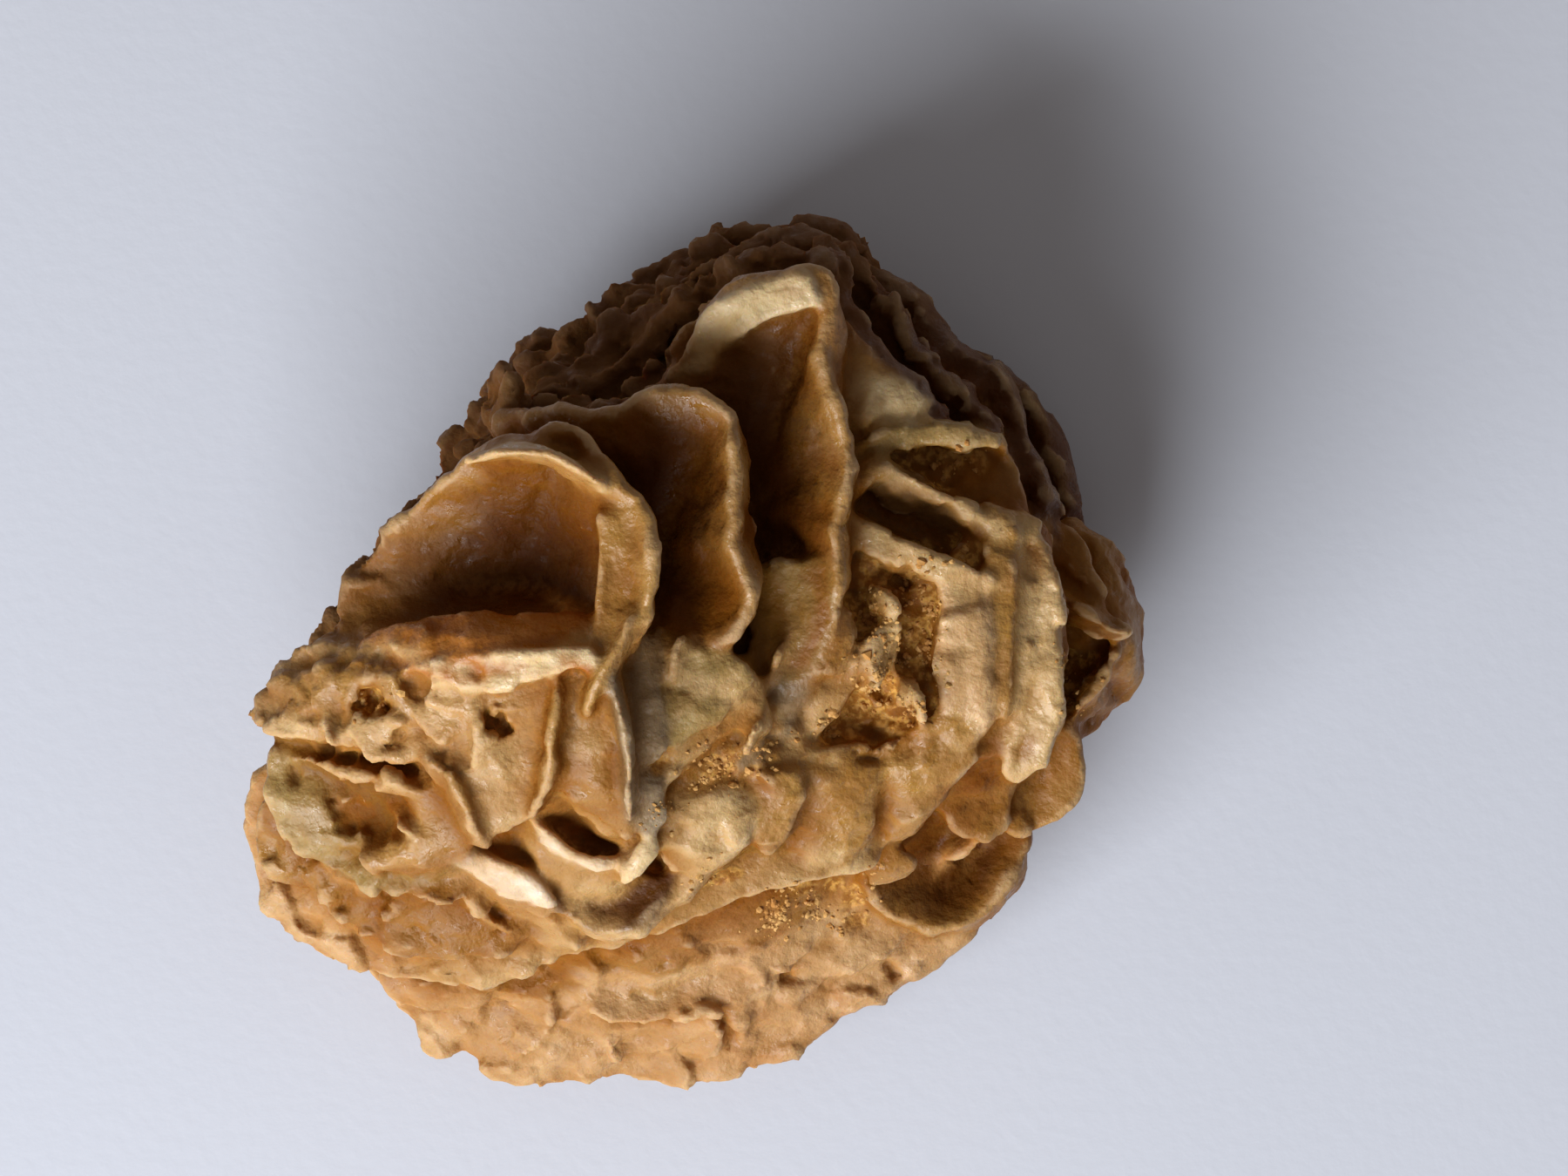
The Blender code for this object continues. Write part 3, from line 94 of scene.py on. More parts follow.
# Blades: rim points (x, y, z), hub, cup (how late the sheet turns up), lip and heart thickness
BLADES = {
    # the mass in the middle and the disc it stands on
    "core": dict(
        rim=[(-28, -22, 9), (-18, -31, 9), (0, -33, 9), (15, -26, 9), (25, -14, 9), (29, 2, 9),
             (25, 16, 9), (14, 27, 9), (0, 30, 9), (-14, 22, 9), (-22, 10, 9), (-29, -6, 9)],
        hub=(-5, -2, 31), cup=2.2, lip=8, heart=38),
    "foot": dict(
        rim=[(-20, -12, 3), (-14, -20, 3), (-2, -23, 3), (12, -20, 3), (20, -10, 3), (23, 4, 3),
             (18, 17, 3), (6, 23, 3), (-8, 21, 3), (-18, 11, 3), (-22, 0, 3)],
        hub=(0, 0, 11), cup=3, lip=8, heart=17),
    "base_disc": dict(
        rim=[(-33, -21, 9), (-29.5, -27.5, 8), (-25.5, -32.5, 7), (-24.2, -36.3, 6.5),
             (-20, -35.8, 7), (-15, -38.9, 6), (-8, -38.2, 6.5), (2, -38, 7), (9.5, -35.4, 8),
             (14, -32.7, 8.5), (20.3, -29.3, 9), (25, -25, 9.5), (29, -19, 10), (31, -8, 10),
             (28, 6, 10), (16, 18, 10), (0, 23, 10), (-16, 16, 10), (-26, 0, 10)],
        hub=(-1, -11, 21), cup=1.8, lip=2.2, heart=21),
    "disc_step": dict(
        rim=[(-28, -28, 12.4), (-24, -31.8, 11), (-17, -31.2, 11.6), (-10.4, -33.6, 10.6),
             (-2, -33, 11.4), (5, -33.2, 11.2), (10, -30.6, 12.2), (17, -27, 12.6),
             (21, -22, 13), (16, -14, 15), (-4, -10, 16), (-22, -16, 15)],
        hub=(-4, -21, 18), cup=1.6, lip=1.8, heart=9),
    "disc_ridge": dict(
        rim=[(-20, -28.4, 14.5), (-13, -30.4, 13.6), (-7, -28.4, 14), (0, -29.6, 13),
             (7, -27.4, 13.4), (13, -25.2, 13.8), (17, -21, 14), (6, -15, 16), (-12, -18, 16)],
        hub=(-2, -23, 16.4), cup=1.5, lip=1.6, heart=8),
    # plates at the back, lowest first
    "back_low": dict(
        rim=[(15, 28, 12), (24, 27.4, 12), (29, 24.5, 12), (31.6, 21, 12), (32.2, 18, 13),
             (33.4, 14.5, 13.5), (34, 9, 14), (32, 1, 12), (24, 0, 12), (15, 10, 12)],
        hub=(24.5, 12, 9), cup=1.8, lip=2.6, heart=9),
    "back_plate": dict(
        rim=[(-28, 4, 17), (-26.4, 9.5, 15.5), (-24.3, 14, 14.5), (-22, 18.5, 14),
             (-18.3, 22.8, 13.5), (-17.8, 25, 13.5), (-13.2, 28, 13), (-9.4, 30, 13),
             (-8.8, 31.6, 13), (-3, 35, 13), (3, 37.6, 14), (7.5, 38.8, 14.5),
             (12.3, 38.7, 15), (16, 35.8, 17), (20, 31.8, 18), (23.5, 28.3, 19),
             (27, 25.8, 20), (28.7, 22.4, 21.5), (30.2, 17.8, 22.5), (32, 12.5, 22.5),
             (31.5, 7, 20), (26, 1, 18), (10, -2, 16), (-10, -3, 16), (-24, -2, 17)],
        hub=(7, 14, 14), cup=1.4, lip=2.4, heart=9),
    "back_middle": dict(
        rim=[(-25, 5, 24), (-23.6, 10.5, 22), (-20.5, 16, 20.5), (-17, 21, 19.5),
             (-13.5, 24.3, 19.5), (-8.5, 27.3, 20), (-5, 31.3, 20), (-1, 33.2, 20.5),
             (3, 35.6, 22), (8, 36.9, 23.5), (12.5, 35.8, 25), (16.3, 32.3, 25.5),
             (18.6, 29.6, 25.5), (21, 26, 25.5), (24, 22.8, 25.3), (27, 20, 24.7),
             (28, 15, 24), (22, 8, 21), (6, 3, 20), (-12, 2, 21)],
        hub=(5, 18, 18), cup=1.5, lip=2.0, heart=7),
    "back_top": dict(
        rim=[(-22, 12.5, 30), (-19.5, 17, 27.5), (-17, 21, 25.5), (-14, 23.6, 25.5),
             (-9, 24.5, 26), (-5, 27.5, 26.5), (-1, 31, 27.5), (2.6, 34.3, 29),
             (6, 35.4, 30), (10.8, 35.7, 30.5), (12.6, 33.6, 31), (13.8, 30.8, 31.5),
             (15.6, 28, 32), (17.6, 25.4, 32), (20.2, 23.4, 31.5), (21, 21.4, 30.5),
             (23, 19.5, 28.5), (18, 10, 27), (5, 6, 26), (-10, 6, 28)],
        hub=(4, 18, 23), cup=1.5, lip=1.8, heart=7),
    "back_slope": dict(
        rim=[(11.4, 34.4, 35.5), (13, 32, 34), (14.8, 28.4, 33), (17, 25.6, 32.4),
             (18.6, 24.2, 32), (17.4, 21.4, 31.5), (13.4, 19, 32), (12.4, 23, 33.4),
             (11.4, 28, 34.6)],
        hub=(13.8, 26, 33.4), cup=1.5, lip=1.4, heart=8),
    # the three big cupped blades
    "tall_petal": dict(
        rim=[(-1.6, 24.8, 33.5), (0.4, 28.3, 35.5), (2.2, 31.2, 37.5), (4.2, 32.8, 38.3),
             (8, 33.5, 38.8), (11.8, 33.8, 39), (11.9, 30.5, 38.8), (11.4, 27, 38.8),
             (12.6, 23, 39), (13.6, 18.5, 39), (13.4, 15, 39), (12.6, 11, 38.8),
             (12.9, 7, 38.4), (12.3, 2.5, 37.4), (10.6, -1.8, 35.8), (7.2, -2.2, 34),
             (4.5, 1, 33), (-2, 8, 32), (-5, 18, 31)],
        hub=(5, 14, 31), cup=1.2, lip=1.1, heart=6),
    "middle_petal": dict(
        rim=[(-17, 20.5, 34), (-12, 21.3, 38), (-6.5, 22, 41), (-3, 23.4, 42.3),
             (1, 23.6, 42.6), (2.9, 22.2, 43), (3.6, 18, 43.6), (3.5, 11, 43.6),
             (4.9, 5.8, 43), (4.5, 3, 42.2), (2.6, 1.2, 41.4), (0, 2.4, 40.4),
             (-4, 3, 38.5), (-9, 8, 36.5), (-14, 15, 35)],
        hub=(-2.6, 10, 35.6), cup=1.2, lip=1.1, heart=6),
    "great_bowl": dict(
        rim=[(-31, 3.6, 33.5), (-29, 7.6, 34.5), (-25.4, 12, 37), (-22, 14.6, 40),
             (-20, 16.2, 42), (-18, 18.3, 44), (-14, 19.2, 45.5), (-11, 20.1, 46),
             (-8.6, 18.7, 46.5), (-6.2, 15.4, 47), (-4.3, 13, 47.5), (-3.4, 9.5, 48),
             (-3.4, 6, 48), (-4, 3, 47.5), (-8, 2.6, 46), (-12, 2.6, 45),
             (-16, 2.4, 44), (-20, 1.6, 42), (-24, 1.2, 40), (-28, 1.6, 37)],
        hub=(-15.5, 7, 35.5), cup=1.25, lip=1.1, heart=6),
    "bowl_ledge": dict(
        rim=[(-29, 1.2, 36.5), (-26, 2.8, 38.5), (-21, 4.2, 41), (-15, 4.6, 42.6),
             (-10, 4.2, 43.4), (-6.8, 3, 44.6), (-7.6, -0.4, 46.6), (-11, -0.8, 46),
             (-15, -0.4, 45.6), (-20, -1.4, 43.6), (-26, -1.4, 39.6)],
        hub=(-16, 1.4, 45.8), cup=1.4, lip=1.6, heart=8),
    # the shoulder and terrace on the left
    "shoulder": dict(
        rim=[(-38.3, -4, 30.5), (-36.5, -1.2, 31), (-33, 1.4, 34), (-28, 1.6, 38),
             (-23, 0.8, 42), (-15, 1, 45), (-8, 1.5, 46), (-6.5, -3, 45), (-7, -8, 43),
             (-11, -10.5, 41), (-14.5, -14, 39), (-18, -14.5, 38.5), (-20.5, -10, 39.5),
             (-25, -8, 38.5), (-31, -6.7, 36)],
        hub=(-19, -4, 43), cup=1.4, lip=3.0, heart=14),
    "shoulder_step": dict(
        rim=[(-37.4, -2.4, 31.6), (-33.6, -0.4, 34.8), (-29, 0.2, 38.6), (-25.6, -1.2, 41.4),
             (-24.6, -4, 41), (-27, -6.2, 38.8), (-32, -5, 35.8)],
        hub=(-30.4, -2.8, 37.6), cup=1.4, lip=1.2, heart=6),
    "left_hollow": dict(
        rim=[(-36, -8, 31), (-31, -8.9, 33.6), (-26, -10, 35.6), (-21, -11.6, 37),
             (-18.8, -14, 36.6), (-19.5, -17, 35), (-22.5, -19, 33), (-26.5, -20.2, 31),
             (-31, -19, 29.4), (-35, -16, 29.6), (-36.6, -12, 30.4)],
        hub=(-28, -13.2, 32.2), cup=1.5, lip=1.8, heart=8),
    "hollow_slope": dict(
        rim=[(-24.6, -11, 36.4), (-21.4, -11.6, 38), (-19, -14.6, 37.4), (-20.6, -17.6, 35),
             (-25, -19, 33), (-29, -18, 32), (-28.6, -16.4, 31.4), (-25.6, -15, 32.6),
             (-24.6, -13, 34.4)],
        hub=(-22.4, -15, 36.4), cup=1.4, lip=1.4, heart=8),
    "left_low": dict(
        rim=[(-37.4, -9.6, 25), (-39.4, -12.8, 23.5), (-40, -15.6, 22), (-38.9, -18.8, 21),
             (-38, -22, 20.5), (-35, -24.6, 20), (-31, -26.4, 20), (-26, -27, 21),
             (-22, -25, 25), (-22, -22, 27), (-28, -20.5, 28), (-33, -17, 28),
             (-36, -12, 27)],
        hub=(-31.5, -21.8, 23), cup=1.4, lip=1.6, heart=8),
    "left_shelf": dict(
        rim=[(-38.6, -15.4, 25.6), (-37, -19, 25), (-33.4, -21.2, 25.2), (-30, -23.4, 24.6),
             (-26, -24.4, 25), (-23.6, -22.6, 27), (-28, -19.6, 28.6), (-33, -16.4, 28.6),
             (-36.4, -12.8, 28)],
        hub=(-31.6, -19.4, 26.8), cup=1.4, lip=1.2, heart=6),
    "long_rim": dict(
        rim=[(-34, -24.5, 20), (-29, -27.4, 20), (-24, -28.2, 21), (-18, -29, 22.4),
             (-14.3, -28.4, 23.6), (-9, -26.3, 25), (-4, -24.8, 25.8), (0.5, -22.6, 26.2),
             (6, -20.6, 26.2), (12, -19.8, 26), (16, -18.4, 25), (19, -13, 23),
             (18, -4, 22), (8, 6, 21), (-8, 9, 20), (-24, 4, 21), (-32, -4, 22),
             (-36, -14, 22)],
        hub=(-10, -11, 28.5), cup=2.2, lip=1.2, heart=8),
    "long_rim_upper": dict(
        rim=[(-27, -25.4, 24.8), (-21, -26.6, 25.4), (-16, -26, 26), (-12.4, -23.4, 27),
             (-13.4, -20.8, 29), (-20, -18.6, 31), (-26, -20.6, 29)],
        hub=(-19.6, -22.6, 28.4), cup=1.5, lip=1.2, heart=7),
    "wavy_rim": dict(
        rim=[(-21.6, -17, 33), (-19.5, -18, 33.3), (-17.6, -20, 32.3), (-14, -21.9, 31.5),
             (-11.8, -21.6, 31), (-9, -22.9, 30.8), (-6, -24, 30.2), (-3.6, -23.8, 30),
             (-1.6, -22, 30.4), (0.6, -20, 30.8), (2, -17, 31), (-2, -13, 31),
             (-10, -12, 32), (-18, -13.5, 32.5)],
        hub=(-8, -18, 27.4), cup=1.2, lip=1.1, heart=8),
    "terrace_bed": dict(
        rim=[(-35, -6, 30), (-33, -13, 29), (-30, -17, 29), (-22, -20, 31), (-14, -19, 31),
             (-9, -14, 34), (-10, -6, 38), (-18, -4, 39), (-28, -5, 34)],
        hub=(-20, -11, 36), cup=1.5, lip=3, heart=12),
    "crescent_bed": dict(
        rim=[(-19, -13, 34), (-15.5, -9, 36), (-10, -9, 37), (-7, -13, 35), (-9, -17.5, 31),
             (-15, -18, 31)],
        hub=(-13.4, -13.6, 34.5), cup=1.6, lip=3.0, heart=14),
    "crescent": dict(
        rim=[(-13.8, -13.8, 36.6), (-13.2, -15.6, 35.5), (-11, -17.1, 35), (-8.5, -18.1, 34.4),
             (-6, -18.2, 34), (-5.4, -16.4, 35.2), (-7.6, -14.7, 37.5), (-10, -12.6, 38.8),
             (-11.2, -11.2, 39.6), (-12.7, -12.2, 38.4)],
        hub=(-8.8, -15.8, 31), cup=1.3, lip=1.0, heart=6),
    "pointed_blade": dict(
        rim=[(-8.6, -4, 44), (-10.2, -7, 42.8), (-11.2, -9.4, 41.6), (-9.8, -12.2, 40.2),
             (-7.4, -14.4, 38.6), (-5.4, -16, 37.5), (-5, -11, 40), (-5.4, -6, 43),
             (-6.4, -3, 44.5)],
        hub=(-7.4, -9.4, 42.6), cup=1.4, lip=1.1, heart=7),
    # the translucent middle
    "middle_mass": dict(
        rim=[(-12, -2, 40), (-7, 3, 39), (-2, 5, 37), (4, 4, 33.6), (11, 0, 31.6),
             (16, 0, 29.6), (21, -2, 27.6), (23, -8, 25.6), (17, -14.5, 24.4), (8, -17, 26.4),
             (0, -18, 28.4), (-7, -16, 29), (-14, -15, 30), (-18, -12, 32), (-15, -6, 37)],
        hub=(1, -7, 32.4), cup=1.8, lip=4.0, heart=12),
    "right_fan": dict(
        rim=[(17.4, -14.6, 26), (19.4, -15.2, 26), (21.6, -13.4, 26), (23.6, -11, 27.6),
             (25.5, -8.4, 29), (24.4, -5.4, 31), (20.6, -5.6, 31.4), (17, -8.4, 30),
             (16.6, -12, 28)],
        hub=(20.6, -10, 29.2), cup=1.6, lip=1.4, heart=7),
    "rubble": dict(
        rim=[(13.6, 8, 32.4), (18, 8.4, 32), (21, 6, 31), (21.6, 0, 31), (21, -6, 29.6),
             (17, -8.4, 29), (12.6, -6.4, 30), (13.4, 0, 31.6)],
        hub=(17.4, 0.6, 30.8), cup=1.5, lip=2, heart=9),
    # the stack on the right
    "right_mass": dict(
        rim=[(13, 12, 31), (17, 18, 30), (22, 20, 28), (28, 17, 28), (31, 10, 27),
             (32, 3, 26), (31.5, -4, 24), (28.5, -10.5, 21), (22, -12.5, 23),
             (16, -11, 27), (13, -3, 30)],
        hub=(21, 3, 28.8), cup=2.2, lip=4.0, heart=17),
    "far_right": dict(
        rim=[(30.5, 10, 17), (33, 12, 17.4), (35.2, 11.5, 17.6), (36.2, 9, 17.6),
             (37.2, 5.5, 18), (38.6, 3, 18), (38.2, 0.6, 17), (36.2, -2.4, 16.4),
             (34.2, -5.6, 16), (32.8, -7.4, 16), (30, -6.5, 16), (28.5, 0, 16)],
        hub=(34, -0.4, 14), cup=1.2, lip=1.6, heart=8),
    "far_shelf": dict(
        rim=[(31, 10.6, 20), (33.6, 11.6, 20), (35.4, 9.4, 20), (36.6, 6, 20.2),
             (37.4, 3.6, 20), (34.6, 4, 21), (31.4, 6, 21.6)],
        hub=(33.6, 7.6, 20.6), cup=1.4, lip=1.2, heart=7),
    "round_petal_left": dict(
        rim=[(22.8, -13.2, 21.5), (24.2, -15.1, 20), (26, -16.3, 19), (27.6, -15.6, 18.5),
             (28.6, -13.8, 19), (28.8, -11, 20.5), (27.4, -9, 22), (24.4, -9, 23),
             (22.6, -10.8, 22.6)],
        hub=(26, -12, 20.6), cup=1.5, lip=1.8, heart=8),
    "round_petal_right": dict(
        rim=[(27.4, -14.8, 17.6), (30, -15.7, 17), (32, -14.7, 17), (33.6, -12.6, 17),
             (34.8, -10, 17.6), (34.3, -7.2, 18.6), (31.8, -6.4, 20), (29, -8.4, 20),
             (27.4, -11.6, 19)],
        hub=(30.6, -10.8, 17.2), cup=1.5, lip=1.8, heart=7),
    "low_petal": dict(
        rim=[(15.6, -18.4, 19), (16.8, -21, 17.2), (18.4, -22.9, 16), (20.6, -24.1, 15),
             (24, -23.3, 14.3), (27.2, -21.5, 14), (29.2, -19, 14), (30.7, -15.4, 14),
             (28.5, -13, 15), (24, -13, 17), (19, -15.4, 19)],
        hub=(24.4, -18.4, 11.8), cup=1.2, lip=1.4, heart=7),
    "low_petal_slab": dict(
        rim=[(15.2, -17.6, 22.4), (17.4, -17, 22.4), (20.2, -17.6, 21), (19.8, -19, 19.6),
             (17.6, -19.8, 19.4), (15.8, -20, 20)],
        hub=(17.6, -18.4, 21.8), cup=1.4, lip=1.1, heart=6),
}

# Ribs: path points (x, y, z), width across and depth down
RIBS = {
    "bowl_crest": dict(path=[(-19.5, 17.2, 45.2), (-15.6, 18.2, 46.4), (-12, 17.7, 46.8),
                             (-9, 16.2, 46.8), (-6.8, 14.8, 46.8)], width=1.5, depth=7),
    "side_rib": dict(path=[(-4.2, 5, 46), (-5.6, 2, 45.6), (-7.2, -1, 45),
                           (-8.8, -5, 43.4)], width=2.4, depth=6),
    "inner_rib": dict(path=[(-6.6, 0, 44.4), (-6, -4, 43.4), (-5.2, -9, 41.4),
                            (-5, -14, 39)], width=1.5, depth=8),
    "shoulder_rib": dict(path=[(-10.8, -1.5, 44.4), (-11.6, -6, 43.4), (-12, -10, 41.4),
                               (-13.4, -13.4, 38.6)], width=2.0, depth=5),
    "terrace_crest": dict(path=[(-23, -8, 39.8), (-20.6, -9.8, 39.6), (-19.4, -12, 39),
                                (-18.6, -14.2, 37.8), (-17.4, -15.8, 36.4)], width=2.6, depth=5),
    "far_ridge": dict(path=[(31.6, 6.8, 21), (34.6, 4.8, 21), (37, 3.2, 20),
                            (38.8, 2.6, 18.4)], width=1.6, depth=5),
    "far_lip": dict(path=[(38.4, 1.8, 18), (36.6, -2, 17.2), (34.4, -5, 16.8),
                          (32.2, -7.6, 17)], width=1.6, depth=5),
    "knob": dict(path=[(-16, 24.4, 26), (-15.6, 22.2, 28), (-16.6, 19.4, 28.4)],
                 width=3.2, depth=9),
}

